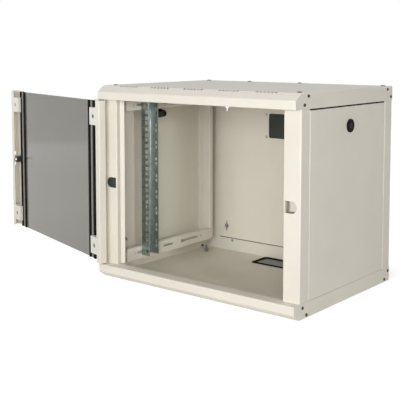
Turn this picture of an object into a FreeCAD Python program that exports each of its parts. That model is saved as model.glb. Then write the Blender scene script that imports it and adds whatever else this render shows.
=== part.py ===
import FreeCAD, Part
import math
import os

# Nine-unit 19-inch wall cabinet in folded sheet steel, glass door swung open to the left.
# Millimetres. X to the right seen from the front, Y to the rear, Z up.
# The origin is the centre of the flat underside.

# Cabinet: its width is the opening between the rack rails and the space beside it
RACK_HALF_OPENING = 225.0
SIDE_SPACE = 75.0
DEPTH = 450.0
HEIGHT = 500.0
SHEET = 1.2
BEND = 1.5
SEAM = 0.3

# Share of a slot's half width that its corners are bevelled by
SLOT_BEVEL = 0.6

# Sides of small repeated pieces, kept to few faces
SHANK_SIDES = 6
HEAD_SIDES = 8
TAIL_SIDES = 4
BARREL_SIDES = 12
FLANGE_SIDES = 20
STRIKE_SIDES = 8

# Roof and base trays
BAND = 36.0
NOSE_FACE = 20.0
NOSE_RUN = 23.0
NOSE_BEND = 2.0
LIP_DEPTH = 33.0
LIP_HEM = 9.0

# Vent slots punched across the front crease of both trays
VENT_GROUPS = 5
VENT_GROUP_PITCH = 105.0
VENT_SLOTS = 6
VENT_PITCH = 10.3
VENT_WIDE = 5.0
VENT_AHEAD = 4.0
VENT_BEHIND = 10.0
VENT_CUT = 12.0

# Push-in plugs of the roof
PLUG_FROM_SIDE = 20.0
PLUG_FROM_FRONT = 46.0
PLUG_FROM_REAR = 14.0
PLUG_REAR_X = (-135.0, 32.0)
PLUG_RADIUS = 4.0
PLUG_HEAD_RADIUS = 6.0
PLUG_HEAD = 2.0

# Cable entries
ENTRY_WIDTH = 146.0
FLOOR_ENTRY_DEPTH = 62.0
FLOOR_ENTRY_FROM_REAR = 13.0
REAR_ENTRY_HEIGHT = 69.0
REAR_ENTRY_FROM_TOP = 88.0
ENTRY_CORNER = 4.0
TRIM_WALL = 2.0
TRIM_LIP = 6.0
COVER_SHEET = 1.5
COVER_MARGIN = 13.0
COVER_SCREW_INSET = 6.0

# Corner posts
POST_FACE = 45.0
POST_SIDE = 35.5
POST_WALL = 12.0
POST_LIP = 8.0
POST_FLANGE = 38.0
REAR_POST_WIDTH = 42.0
REAR_POST_SIDE = 38.0
REAR_POST_RETURN = 14.0
REAR_POST_FLANGE = 36.0
TONGUE_LAP = 14.0
TONGUE_EDGE = 6.5
TONGUE_CLEAR = 2.0

# Corner screws: distance from the front or rear face, and from the roof or base plane
FRONT_SCREWS = ((34.5, 26.5), (50.5, 7.5))
REAR_SCREWS = ((8.5, 26.5), (27.5, 7.5))
SCREW_RADIUS = 2.5
SCREW_CLEAR = 0.2
SCREW_HEAD_RADIUS = 3.8
SCREW_HEAD = 2.2
SCREW_LENGTH = 8.0

# Lock openings of the front posts
STRIKE_BELOW_MIDDLE = 1.0
STRIKE_TALL = 27.0
STRIKE_OUTER = 9.5
STRIKE_INNER = 41.0
STRIKE_PLATE_SETBACK = 9.0
STRIKE_PLATE_MARGIN = 9.0
STRIKE_PLATE_SHEET = 1.5
PLUG_FIT = 0.2
PLUG_RIM = 1.0

# Rear panel, pressed inward as a shallow pan
PAN_FROM_SIDE = 50.0
PAN_FROM_END = 40.0
PAN_DEPTH = 6.0
PAN_CORNER = 3.0
BRIM_INSET = 6.0
KEYHOLE_FROM_PAN_SIDE = 29.5
KEYHOLE_FROM_PAN_END = 33.5
KEYHOLE_RADIUS = 7.0
KEYHOLE_SLOT = 4.4
KEYHOLE_REACH = 15.0
PANEL_SCREW_X = 202.0
PANEL_SCREW_Z = 31.0
POST_SCREW_PITCH = 150.0

# Side panels
PANEL_GAP = 0.8
PANEL_TOP_GAP = 3.5
PANEL_BOTTOM_GAP = 0.5
PANEL_FLANGE = 12.0
HOOK_WIDTH = 30.0
HOOK_DROP = 12.0
HOOK_LAP = 14.0
HOOK_PLATE = 1.6
HOOK_CLEAR = 0.5
HOOK_SPACING = 220.0
SIDE_LOCK_DROP = 45.5
KEEPER_SHEET = 1.5
KEEPER_WIDTH = 40.0
KEEPER_STANDOFF = 19.0
KEEPER_BELOW_BAND = 30.0
KEEPER_ABOVE_BAND = 28.0
STUD_SETBACK = 28.0
STUD_ABOVE_BAND = 51.0
STUD_RADIUS = 3.0
STUD_LENGTH = 16.0

# Depth rails
RAIL_SHEET = 1.5
RAIL_TALL = 34.0
RAIL_BELOW_RACK = 16.5
RAIL_FLANGE = 14.0
TAB_FROM_SIDE = 14.0
TAB_BOLT_FROM_SIDE = 24.0
RAIL_SLOT_Z = 19.5
RAIL_SLOT_RADIUS = 3.2
RAIL_SLOTS = ((-128.0, -57.0), (-24.0, 16.0), (54.0, 123.0))
RAIL_HOLES = ((-57.0, 6.0), (54.0, 6.0), (-138.0, 2.5), (139.0, 2.5))

# Rack rails, EIA hole pattern
UNIT = 44.45
UNIT_HOLES = (6.35, 22.225, 38.1)
RACK_WIDE = 28.5
RACK_HOLE_FROM_EDGE = 7.55
RACK_HOLE = 9.5
RACK_FRONT = 112.0
RACK_DEEP = 38.0
RACK_SHEET = 2.0
RACK_OVERHANG = 5.5
RACK_SLOT_WIDTH = 4.5
RACK_SLOT_TALL = 9.0
RACK_SLOT_OFFSET = 6.5
RACK_WEB_HOLE_RADIUS = 4.0

# Machine screws of the rails and the earth point
BOLT_RADIUS = 3.0
BOLT_CLEAR = 0.3
BOLT_HEAD_RADIUS = 6.0
BOLT_HEAD = 3.5
NUT_FLATS = 10.0
NUT_THICK = 4.8
EARTH_FROM_SIDE = 46.0
EARTH_FROM_REAR = 60.0
EARTH_TALL = 20.0

# Door
DOOR_ANGLE = 197.2
DOOR_GAP = 2.0
DOOR_RECESS = 1.0
DOOR_THICK = 20.0
STILE_FACE = 58.0
STILE_FLANGE = 19.5
HINGE_INSET = 8.5
HINGE_SETBACK = 7.2
HINGE_PIN_RADIUS = 3.0
HINGE_FIT = 0.05
HINGE_PIN_REACH = 7.0
HINGE_BLOCK_TALL = 36.0
HINGE_BLOCK_WIDE = 17.0
HINGE_BLOCK_FIT = 0.1
HINGE_WASHER_RADIUS = 6.5
HINGE_SCREW_PITCH = 18.0
HINGE_SCREW_RADIUS = 2.4
HINGE_SCREW_HEAD = 0.6
HINGE_SCREW_LENGTH = 4.5
GLASS = 4.0
GLASS_INSET = 48.0
GLASS_END = 2.0
GLASS_ARRIS = 0.6
RUBBER = 1.3
RUBBER_BACK = 36.0
RUBBER_RIB = 2.5
RUBBER_RIB_WIDE = 9.0
CLAMP_TALL = 45.0
CLAMP_END = 20.0
CLAMP_WIDE = 35.0
CLAMP_CLEAR = 0.2
CLAMP_SCREW_BORE = 5.5
CLAMP_SCREW_SUNK = 4.0
CLAMP_SCREW_HEAD = 3.0
DOOR_LOCK_INSET = 32.0
LATCH_SLOT_TALL = 16.0
LATCH_SLOT_WIDE = 4.0

# Cylinder locks of the door and the side panels
CYLINDER_RADIUS = 6.0
CYLINDER_FIT = 0.05
BARREL_RADIUS = 9.2
BARREL_CLEAR = 0.2
LOCK_FLANGE_RADIUS = 16.0
LOCK_FLANGE = 4.0
LOCK_FLANGE_BEVEL = 1.5
LOCK_NUT_FLATS = 24.0
LOCK_NUT_THICK = 4.0
CAM_SHEET = 2.5
CAM_GAP = 1.0
CAM_TAIL_RADIUS = 3.0
CAM_RIVET_RADIUS = 4.5
CAM_RIVET = 1.8
CAM_BACK = 6.0
CAM_CORNER = 0.45
SIDE_CAM_REACH = 30.0
SIDE_CAM_WIDE = 13.0
DOOR_CAM_REACH = 11.2
DOOR_CAM_WIDE = 10.0
DOOR_BARREL_STOP = 1.5
KEYWAY_WIDE = 7.4
KEYWAY_THICK = 2.3
KEYWAY_DEEP = 4.0
KEY_FIT = 0.15
KEY_NECK = 12.0
KEY_BOW = 22.0
KEY_BOW_WIDE = 24.0
KEY_BOW_BEVEL = 6.0
KEY_BOW_HOLE = 4.0
KEY_HOLE_INSET = 7.7

# Planes worked out from the sizes above
SIDE = RACK_HALF_OPENING + SIDE_SPACE
FRONT = -DEPTH / 2
REAR = DEPTH / 2
FRAME_REAR = REAR - SHEET
INNER_SIDE = SIDE - SHEET
POST_FRONT = FRONT + NOSE_RUN
POST_STEP = POST_FRONT + POST_SIDE
REAR_STEP = FRAME_REAR - REAR_POST_SIDE
PAN_FACE = REAR - PAN_DEPTH
PAN_HALF_WIDTH = SIDE - PAN_FROM_SIDE
PAN_HALF_HEIGHT = HEIGHT / 2 - PAN_FROM_END
MIDDLE_Z = HEIGHT / 2
STRIKE_HEIGHT = MIDDLE_Z - STRIKE_BELOW_MIDDLE
HINGE_X = SIDE - HINGE_INSET
HINGE_Y = FRONT + HINGE_SETBACK
DOOR_FRONT = FRONT + DOOR_RECESS
DOOR_BACK = DOOR_FRONT + DOOR_THICK
DOOR_LOW = BAND + DOOR_GAP
DOOR_HIGH = HEIGHT - BAND - DOOR_GAP
STILE_INSIDE = DOOR_FRONT + SHEET
GLASS_FRONT = STILE_INSIDE + RUBBER
GLASS_BACK = GLASS_FRONT + GLASS
GLASS_EDGE = SIDE - GLASS_INSET
PANEL_LOW = BAND + PANEL_BOTTOM_GAP
PANEL_HIGH = HEIGHT - BAND - PANEL_TOP_GAP
PANEL_FRONT = POST_STEP + PANEL_GAP
PANEL_REAR = REAR_STEP - PANEL_GAP
SIDE_LOCK_Y = (PANEL_FRONT + PANEL_REAR) / 2
SIDE_LOCK_HEIGHT = PANEL_HIGH - SIDE_LOCK_DROP
RACK_FACE = FRONT + RACK_FRONT
RACK_UNITS = int((HEIGHT - 2 * (BAND + RACK_OVERHANG)) / UNIT)
RACK_HOLE_X = RACK_HALF_OPENING + RACK_HOLE_FROM_EDGE
RACK_LOW = MIDDLE_Z - RACK_UNITS * UNIT / 2
RAIL_PLANE = RACK_HALF_OPENING + RACK_WIDE
RAIL_LOW = RACK_LOW - RAIL_BELOW_RACK
TAB_BOLT_X = SIDE - TAB_BOLT_FROM_SIDE
EARTH_X = EARTH_FROM_SIDE - SIDE
FLOOR_ENTRY_Y = FRAME_REAR - FLOOR_ENTRY_FROM_REAR - FLOOR_ENTRY_DEPTH / 2
REAR_ENTRY_Z = HEIGHT - REAR_ENTRY_FROM_TOP - REAR_ENTRY_HEIGHT / 2
ORIGIN = FreeCAD.Vector(0, 0, 0)
AXIS_X = FreeCAD.Vector(1, 0, 0)
AXIS_Y = FreeCAD.Vector(0, 1, 0)
AXIS_Z = FreeCAD.Vector(0, 0, 1)
DIAGONAL = FreeCAD.Vector(1, 1, 1)


def vec(x, y, z=0.0):
    return FreeCAD.Vector(x, y, z)


def box(x0, x1, y0, y1, z0, z1):
    """Block between two opposite corners."""
    return Part.makeBox(x1 - x0, y1 - y0, z1 - z0, vec(x0, y0, z0))


def rod(radius, length, base, axis):
    return Part.makeCylinder(radius, length, base, axis)


def mirrored(shape):
    """Left-hand copy of a right-hand piece."""
    return shape.mirror(ORIGIN, AXIS_X)


def upside_down(shape):
    """Copy mirrored about the cabinet's mid-height."""
    return shape.mirror(vec(0, 0, MIDDLE_Z), AXIS_Z)


def both_sides(shapes):
    return shapes + [mirrored(shape) for shape in shapes]


def both_ends(shapes):
    return shapes + [upside_down(shape) for shape in shapes]


def everywhere(shapes):
    """Group of pieces repeated at both ends and on both sides."""
    return Part.makeCompound(both_sides(both_ends(shapes)))


def outline(points, radii):
    """Flat face in the XY plane with each corner rounded by its own radius."""
    edges = []
    count = len(points)
    corners = []
    for i in range(count):
        corner = vec(*points[i])
        back = (vec(*points[i - 1]) - corner).normalize()
        ahead = (vec(*points[(i + 1) % count]) - corner).normalize()
        if radii[i] == 0:
            corners.append((corner, None, corner))
            continue
        half = back.getAngle(ahead) / 2
        run = radii[i] / math.tan(half)
        middle = (back + ahead).normalize() * (radii[i] / math.sin(half) - radii[i])
        corners.append((corner + back * run, corner + middle, corner + ahead * run))
    for i in range(count):
        start, middle, end = corners[i]
        if middle:
            edges.append(Part.Arc(start, middle, end).toShape())
        following = corners[(i + 1) % count][0]
        if (following - end).Length > 1e-6:
            edges.append(Part.makeLine(end, following))
    return Part.Face(Part.Wire(edges))


def beside(path, distance):
    """Path moved to its own left by a distance, with mitred corners."""
    points = [vec(*point) for point in path]
    normals = []
    for start, end in zip(points, points[1:]):
        along = (end - start).normalize()
        normals.append(vec(-along.y, along.x))
    moved = [points[0] + normals[0] * distance]
    for point, one, two in zip(points[1:], normals, normals[1:]):
        moved.append(point + (one + two) * (distance / (1 + one.dot(two))))
    moved.append(points[-1] + normals[-1] * distance)
    return [(point.x, point.y) for point in moved]


def bent_sheet(path, thickness=SHEET, bend=BEND):
    """Section of a folded sheet: the path is one face, the metal lies on the path's left."""
    path_radii = [0.0]
    other_radii = [0.0]
    for one, two, three in zip(path, path[1:], path[2:]):
        turn = (two[0] - one[0]) * (three[1] - two[1]) - (two[1] - one[1]) * (three[0] - two[0])
        path_radii.append(bend + thickness if turn > 0 else bend)
        other_radii.append(bend if turn > 0 else bend + thickness)
    path_radii.append(0.0)
    other_radii.append(0.0)
    other = beside(path, thickness)
    return outline(list(path) + other[::-1], path_radii + other_radii[::-1])


def upright(section, low, high):
    """Extrude a plan section (X, Y) along Z."""
    return section.translated(vec(0, 0, low)).extrude(vec(0, 0, high - low))


def across(section, low, high):
    """Extrude a side section drawn as (Y, Z) along X."""
    return section.rotated(ORIGIN, DIAGONAL, 120).translated(vec(low, 0)).extrude(vec(high - low, 0))


def lengthwise(section, low, high):
    """Extrude a front section drawn as (X, Z) along Y."""
    return section.rotated(ORIGIN, AXIS_X, 90).translated(vec(0, low)).extrude(vec(0, high - low))


def clipped(half_width, half_height, bevel, x=0.0, y=0.0):
    """Rectangle in the XY plane about a centre with bevelled corners, kept to few faces."""
    corner = [(half_width, half_height - bevel), (half_width - bevel, half_height)]
    half = corner + [(-i, j) for i, j in corner[::-1]]
    points = half + [(-i, -j) for i, j in half]
    return outline([(x + i, y + j) for i, j in points], [0.0] * len(points))


def oblong(half_width, half_height, x=0.0, y=0.0):
    """Slot in the XY plane with bevelled ends."""
    return clipped(half_width, half_height, min(half_width, half_height) * SLOT_BEVEL, x, y)


def polygon(radius, sides, x=0.0, y=0.0):
    """Regular polygon in the XY plane, given by the radius of its corners."""
    angles = [2 * math.pi * i / sides for i in range(sides)]
    return outline([(x + radius * math.cos(a), y + radius * math.sin(a)) for a in angles], [0.0] * sides)


def facing(shape, direction):
    """Turn a piece built along +Z so that it points along another axis."""
    turned = shape.copy()
    turned.Placement = FreeCAD.Placement(ORIGIN, FreeCAD.Rotation(AXIS_Z, direction))
    return turned


def prism(radius, length, base, axis, sides=SHANK_SIDES):
    """Many-sided rod: a small shank, or the hole that it sits in."""
    return facing(polygon(radius, sides).extrude(vec(0, 0, length)), axis).translated(base)


def bevelled(radius, tall, bevel, sides):
    """Many-sided disc standing on the XY plane, with its upper rim bevelled."""
    disc = prism(radius, tall, ORIGIN, AXIS_Z, sides)
    rim = [edge for edge in disc.Edges if edge.BoundBox.ZMin > tall - 1e-6]
    return disc.makeChamfer(bevel, rim)


def hex_nut(flats, thick, hole, sides=SHANK_SIDES):
    """Nut standing on the XY plane about the Z axis."""
    nut = polygon(flats / math.sqrt(3), 6).extrude(vec(0, 0, thick))
    return nut.cut(prism(hole, thick, ORIGIN, AXIS_Z, sides))


def pan_screw(radius, length, head_radius, head):
    """Screw along -Z with a plain pan head standing on the XY plane."""
    cap = prism(head_radius, head, ORIGIN, AXIS_Z, HEAD_SIDES)
    return cap.fuse(prism(radius, length, vec(0, 0, -length), AXIS_Z)).removeSplitter()


# Trays
def corner_screw_places():
    """(y, z) of the base tray's screws on one side."""
    front = [(FRONT + y, z) for y, z in FRONT_SCREWS]
    rear = [(REAR - y, z) for y, z in REAR_SCREWS]
    return front + rear


def vent_cutters():
    """Slots of the base tray, each lying across the crease between floor and chamfer."""
    crease = FRONT + NOSE_RUN
    half = VENT_WIDE / 2
    slot = box(-half, half, crease - VENT_AHEAD, crease + VENT_BEHIND, -SHEET, VENT_CUT)
    cutters = []
    for group in range(VENT_GROUPS):
        centre = (group - (VENT_GROUPS - 1) / 2) * VENT_GROUP_PITCH
        for column in range(VENT_SLOTS):
            x = centre + (column - (VENT_SLOTS - 1) / 2) * VENT_PITCH
            cutters.append(slot.translated(vec(x, 0)))
    return cutters


def trough(half_width, floor, bend):
    """Full-depth block with both lower edges rounded, as the side bands are folded up."""
    points = [(-half_width, floor), (half_width, floor), (half_width, BAND), (-half_width, BAND)]
    return lengthwise(outline(points, [bend, bend, 0.0, 0.0]), FRONT, FRAME_REAR)


def tray():
    """Base tray: floor, side bands, rear wall and the chamfered nose with its folded lip."""
    nose = [(FRONT + NOSE_RUN, 0), (FRONT, BAND - NOSE_FACE), (FRONT, BAND)]
    nose += [(FRAME_REAR, BAND), (FRAME_REAR, 0)]
    bends = [NOSE_BEND, NOSE_BEND, NOSE_BEND, 0.0, NOSE_BEND]
    section = outline(nose[::-1], bends[::-1])
    skin = across(section, -SIDE, SIDE).common(trough(SIDE, 0.0, BEND + SHEET))
    hollow = across(section.makeOffset2D(-SHEET), -INNER_SIDE, INNER_SIDE)
    hollow = hollow.common(trough(INNER_SIDE, SHEET, BEND))
    lip_end = FRONT + LIP_DEPTH
    mouth = box(-INNER_SIDE, INNER_SIDE, lip_end, FRAME_REAR - SHEET, BAND / 2, BAND + 1)
    hem_end = SIDE - SCREW_LENGTH - 2 * SHEET
    hem = box(-hem_end, hem_end, lip_end - SHEET, lip_end, BAND - LIP_HEM, BAND)
    shell = skin.cut(hollow).cut(mouth).fuse(hem)
    cuts = []
    for y, z in corner_screw_places():
        hole = prism(SCREW_RADIUS + SCREW_CLEAR, 2 * SHEET, vec(INNER_SIDE - SHEET / 2, y, z), AXIS_X)
        cuts.append(hole)
    pin_foot = vec(HINGE_X, HINGE_Y, BAND - 1.5 * SHEET)
    hinge = rod(HINGE_PIN_RADIUS + HINGE_FIT, 2 * SHEET, pin_foot, AXIS_Z)
    relief_x = INNER_SIDE - SHEET - SEAM
    relief_y = (tongue_span()[0] - SEAM, lip_end + SEAM)
    relief = box(relief_x, INNER_SIDE, *relief_y, BAND - LIP_HEM - SEAM, BAND + 1)
    start = vec(PANEL_SCREW_X, FRAME_REAR - 2 * SHEET, PANEL_SCREW_Z)
    screw = prism(SCREW_RADIUS + SCREW_CLEAR, 3 * SHEET, start, AXIS_Y)
    return shell.cut(both_sides(cuts + [hinge, relief, screw]) + vent_cutters()).removeSplitter()


def base_tray():
    """Tray with the floor cable entry and the earth bolt's hole."""
    entry = clipped(ENTRY_WIDTH / 2, FLOOR_ENTRY_DEPTH / 2, ENTRY_CORNER, 0.0, FLOOR_ENTRY_Y)
    earth = prism(BOLT_RADIUS, 3 * SHEET, vec(EARTH_X, REAR - EARTH_FROM_REAR, -SHEET), AXIS_Z)
    return tray().cut([upright(entry, -SHEET, 2 * SHEET), earth])


def plug_places():
    """(x, y) of the roof's plugs: one near each corner and two more along the rear."""
    side = SIDE - PLUG_FROM_SIDE
    front = FRONT + PLUG_FROM_FRONT
    rear = REAR - PLUG_FROM_REAR
    return [(x, y) for x in (-side, side) for y in (front, rear)] + [(x, rear) for x in PLUG_REAR_X]


def roof_tray():
    """Tray turned over, with the plugged holes."""
    holes = [prism(PLUG_RADIUS, 3 * SHEET, vec(x, y, HEIGHT - 2 * SHEET), AXIS_Z) for x, y in plug_places()]
    return upside_down(tray()).cut(holes)


def roof_plugs():
    """Domed plastic plugs seated in the roof's holes."""
    plugs = []
    for x, y in plug_places():
        plug = pan_screw(PLUG_RADIUS, 3 * SHEET, PLUG_HEAD_RADIUS, PLUG_HEAD)
        plugs.append(plug.translated(vec(x, y, HEIGHT)))
    return Part.makeCompound(plugs)


def corner_screws():
    """Pan-head screws that hold the posts' tongues to the bands."""
    screw = facing(pan_screw(SCREW_RADIUS, SCREW_LENGTH, SCREW_HEAD_RADIUS, SCREW_HEAD), AXIS_X)
    lower = [screw.translated(vec(SIDE, y, z)) for y, z in corner_screw_places()]
    return everywhere(lower)


def floor_entry_trim():
    """Rubber edge trim round the floor cable entry."""
    half_x = ENTRY_WIDTH / 2
    half_y = FLOOR_ENTRY_DEPTH / 2
    lip = clipped(half_x + TRIM_LIP, half_y + TRIM_LIP, ENTRY_CORNER + TRIM_LIP / 2, 0.0, FLOOR_ENTRY_Y)
    neck = clipped(half_x, half_y, ENTRY_CORNER, 0.0, FLOOR_ENTRY_Y)
    corner = ENTRY_CORNER - TRIM_WALL / 2
    hole = clipped(half_x - TRIM_WALL, half_y - TRIM_WALL, corner, 0.0, FLOOR_ENTRY_Y)
    trim = upright(lip, SHEET, SHEET + TRIM_WALL).fuse(upright(neck, SEAM, SHEET))
    return trim.cut(upright(hole, 0.0, SHEET + 2 * TRIM_WALL)).removeSplitter()


# Posts
def tongue_span():
    """Front and rear edge of the front posts' tongues."""
    places = [FRONT + y for y, z in FRONT_SCREWS]
    return min(places) - TONGUE_EDGE, max(places) + TONGUE_EDGE


def tongues(y0, y1, screws):
    """Plates at both ends of a post, lapped behind its side and screwed inside the bands."""
    plate = box(INNER_SIDE - SHEET, INNER_SIDE, y0, y1, SHEET + TONGUE_CLEAR, BAND + TONGUE_LAP)
    start = INNER_SIDE - 1.5 * SHEET
    holes = [prism(SCREW_RADIUS, 2 * SHEET, vec(start, y, z), AXIS_X) for y, z in screws]
    return both_ends([plate.cut(holes)])


def strike_face(margin):
    """D-shaped lock opening of the right front post, as (X, Z), grown by a margin."""
    half = STRIKE_TALL / 2 + margin
    flat = SIDE - STRIKE_INNER - margin
    round_centre = SIDE - STRIKE_OUTER - STRIKE_TALL / 2
    angles = [math.pi * (i / STRIKE_SIDES - 0.5) for i in range(STRIKE_SIDES + 1)]
    points = [(round_centre + half * math.cos(a), STRIKE_HEIGHT + half * math.sin(a)) for a in angles]
    points += [(flat, STRIKE_HEIGHT + half), (flat, STRIKE_HEIGHT - half)]
    return outline(points, [0.0] * len(points))


def front_post():
    """Right front post: folded face, side strip, rail flange and slanted door lip."""
    inner = SIDE - POST_FACE
    wall_end = POST_FRONT + POST_WALL
    path = [(inner - POST_LIP, wall_end + POST_LIP), (inner, wall_end), (inner, POST_FRONT)]
    path += [(SIDE, POST_FRONT), (SIDE, POST_STEP), (SIDE - POST_FLANGE, POST_STEP)]
    post = upright(bent_sheet(path), BAND + SEAM, HEIGHT - BAND - SEAM)
    screws = [(FRONT + y, z) for y, z in FRONT_SCREWS]
    post = post.fuse(tongues(*tongue_span(), screws))
    strike = lengthwise(strike_face(0.0), POST_FRONT - SHEET, POST_FRONT + 2 * SHEET)
    start = vec(TAB_BOLT_X, POST_STEP - 2 * SHEET, rail_middle())
    bolt = prism(BOLT_RADIUS + BOLT_CLEAR, 3 * SHEET, start, AXIS_Y)
    return post.cut([strike] + both_ends([bolt])).removeSplitter()


def rear_post():
    """Right rear post: folded strip that carries the depth rails and the rear panel."""
    inner = SIDE - REAR_POST_WIDTH
    path = [(inner, REAR_STEP + REAR_POST_RETURN), (inner, REAR_STEP), (SIDE, REAR_STEP)]
    path += [(SIDE, FRAME_REAR), (SIDE - REAR_POST_FLANGE, FRAME_REAR)]
    post = upright(bent_sheet(path), BAND + SEAM, HEIGHT - BAND - SEAM)
    screws = [(REAR - y, z) for y, z in REAR_SCREWS]
    places = [y for y, z in screws]
    span = (min(places) - TONGUE_EDGE, min(max(places) + TONGUE_EDGE, FRAME_REAR - SHEET - SEAM))
    post = post.fuse(tongues(*span, screws))
    start = vec(TAB_BOLT_X, REAR_STEP - SHEET, rail_middle())
    bolt = prism(BOLT_RADIUS + BOLT_CLEAR, 3 * SHEET, start, AXIS_Y)
    holes = [prism(SCREW_RADIUS + SCREW_CLEAR, 3 * SHEET, vec(x, FRAME_REAR - 2 * SHEET, z), AXIS_Y)
             for x, z in post_panel_screws()]
    return post.cut(both_ends([bolt]) + holes).removeSplitter()


def strike_plate():
    """Zinc plate behind the right post's lock opening, with a leg on the post's side."""
    y = POST_FRONT + SHEET + STRIKE_PLATE_SETBACK
    leg_end = y + STRIKE_PLATE_MARGIN
    half = STRIKE_TALL / 2 + STRIKE_PLATE_MARGIN
    path = [(INNER_SIDE, leg_end), (INNER_SIDE, y), (SIDE - POST_FACE + SHEET + SEAM, y)]
    section = bent_sheet(path[::-1], STRIKE_PLATE_SHEET)
    return upright(section, STRIKE_HEIGHT - half, STRIKE_HEIGHT + half)


def strike_hole_plug():
    """Plastic plug snapped into the left post's unused lock opening from behind."""
    neck = lengthwise(strike_face(-PLUG_FIT), POST_FRONT + PLUG_FIT, POST_FRONT + SHEET)
    rim = lengthwise(strike_face(PLUG_RIM), POST_FRONT + SHEET, POST_FRONT + SHEET + TRIM_WALL)
    return mirrored(neck.fuse(rim).removeSplitter())


# Rear panel
def post_panel_screws():
    """(x, z) of the screws between the rear panel's brim and the right rear post."""
    x = SIDE - REAR_POST_FLANGE / 2
    return [(x, MIDDLE_Z + i * POST_SCREW_PITCH) for i in (-1, 0, 1)]


def tray_panel_screws():
    """(x, z) of the screws between the brim and both trays, right half."""
    return [(PANEL_SCREW_X, PANEL_SCREW_Z), (PANEL_SCREW_X, HEIGHT - PANEL_SCREW_Z)]


def keyhole():
    """Upper right wall keyhole: a round entry with a slot above and below it."""
    x = PAN_HALF_WIDTH - KEYHOLE_FROM_PAN_SIDE
    z = MIDDLE_Z + PAN_HALF_HEIGHT - KEYHOLE_FROM_PAN_END
    front = PAN_FACE - SHEET
    rear = PAN_FACE + 2 * SHEET
    slot = lengthwise(oblong(KEYHOLE_SLOT / 2, KEYHOLE_REACH, x, z), front, rear)
    return rod(KEYHOLE_RADIUS, rear - front, vec(x, front, z), AXIS_Y).fuse(slot)


def keyholes():
    """All four wall keyholes; the cabinet hangs on them either way up."""
    return both_sides(both_ends([keyhole()]))


def cover_screw_places():
    half_x = ENTRY_WIDTH / 2 + COVER_MARGIN - COVER_SCREW_INSET
    half_z = REAR_ENTRY_HEIGHT / 2 - COVER_SCREW_INSET / 2
    return [(i * half_x, REAR_ENTRY_Z + j * half_z) for i in (-1, 1) for j in (-1, 1)]


def rear_panel():
    """Rear sheet with its middle pressed inward, cable cut-out and wall keyholes."""
    brim = box(BRIM_INSET - SIDE, SIDE - BRIM_INSET, FRAME_REAR, REAR, BRIM_INSET, HEIGHT - BRIM_INSET)
    pan = clipped(PAN_HALF_WIDTH, PAN_HALF_HEIGHT, PAN_CORNER, 0.0, MIDDLE_Z)
    recess = clipped(PAN_HALF_WIDTH - SHEET, PAN_HALF_HEIGHT - SHEET, PAN_CORNER, 0.0, MIDDLE_Z)
    panel = brim.fuse(lengthwise(pan, PAN_FACE, REAR))
    panel = panel.cut(lengthwise(recess, PAN_FACE + SHEET, REAR + SHEET))
    entry = clipped(ENTRY_WIDTH / 2, REAR_ENTRY_HEIGHT / 2, ENTRY_CORNER, 0.0, REAR_ENTRY_Z)
    holes = keyholes()
    holes.append(lengthwise(entry, PAN_FACE - SHEET, PAN_FACE + 2 * SHEET))
    for x, z in cover_screw_places():
        holes.append(prism(SCREW_RADIUS + SCREW_CLEAR, 3 * SHEET, vec(x, PAN_FACE - SHEET, z), AXIS_Y))
    places = post_panel_screws() + tray_panel_screws()
    rim = [prism(SCREW_RADIUS, 3 * SHEET, vec(x, FRAME_REAR - SHEET, z), AXIS_Y) for x, z in places]
    return panel.cut(holes + both_sides(rim)).removeSplitter()


def rear_panel_screws():
    """Screws driven from inside through the frame into the rear panel's brim."""
    screw = facing(pan_screw(SCREW_RADIUS, 2 * SHEET, SCREW_HEAD_RADIUS, SCREW_HEAD), -AXIS_Y)
    y = FRAME_REAR - SHEET
    places = post_panel_screws() + tray_panel_screws()
    return Part.makeCompound(both_sides([screw.translated(vec(x, y, z)) for x, z in places]))


def rear_entry_cover():
    """Blanking plate behind the rear cable cut-out."""
    half_x = ENTRY_WIDTH / 2 + COVER_MARGIN
    half_z = REAR_ENTRY_HEIGHT / 2 + COVER_MARGIN
    plate = clipped(half_x, half_z, ENTRY_CORNER, 0.0, REAR_ENTRY_Z)
    back = PAN_FACE + SHEET
    cover = lengthwise(plate, back, back + COVER_SHEET)
    start = back - SHEET
    holes = [prism(SCREW_RADIUS, 4 * SHEET, vec(x, start, z), AXIS_Y) for x, z in cover_screw_places()]
    return cover.cut(holes)


def rear_cover_screws():
    screw = facing(pan_screw(SCREW_RADIUS, SHEET + COVER_SHEET, SCREW_HEAD_RADIUS, SCREW_HEAD), -AXIS_Y)
    return Part.makeCompound([screw.translated(vec(x, PAN_FACE, z)) for x, z in cover_screw_places()])


# Rails
def rail_middle():
    """Height of the lower depth rails' tab bolts."""
    return RAIL_LOW + RAIL_TALL / 2


def slot_bolt_height():
    """Height of the lower depth rails' slots."""
    return RAIL_LOW + RAIL_SLOT_Z


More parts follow.
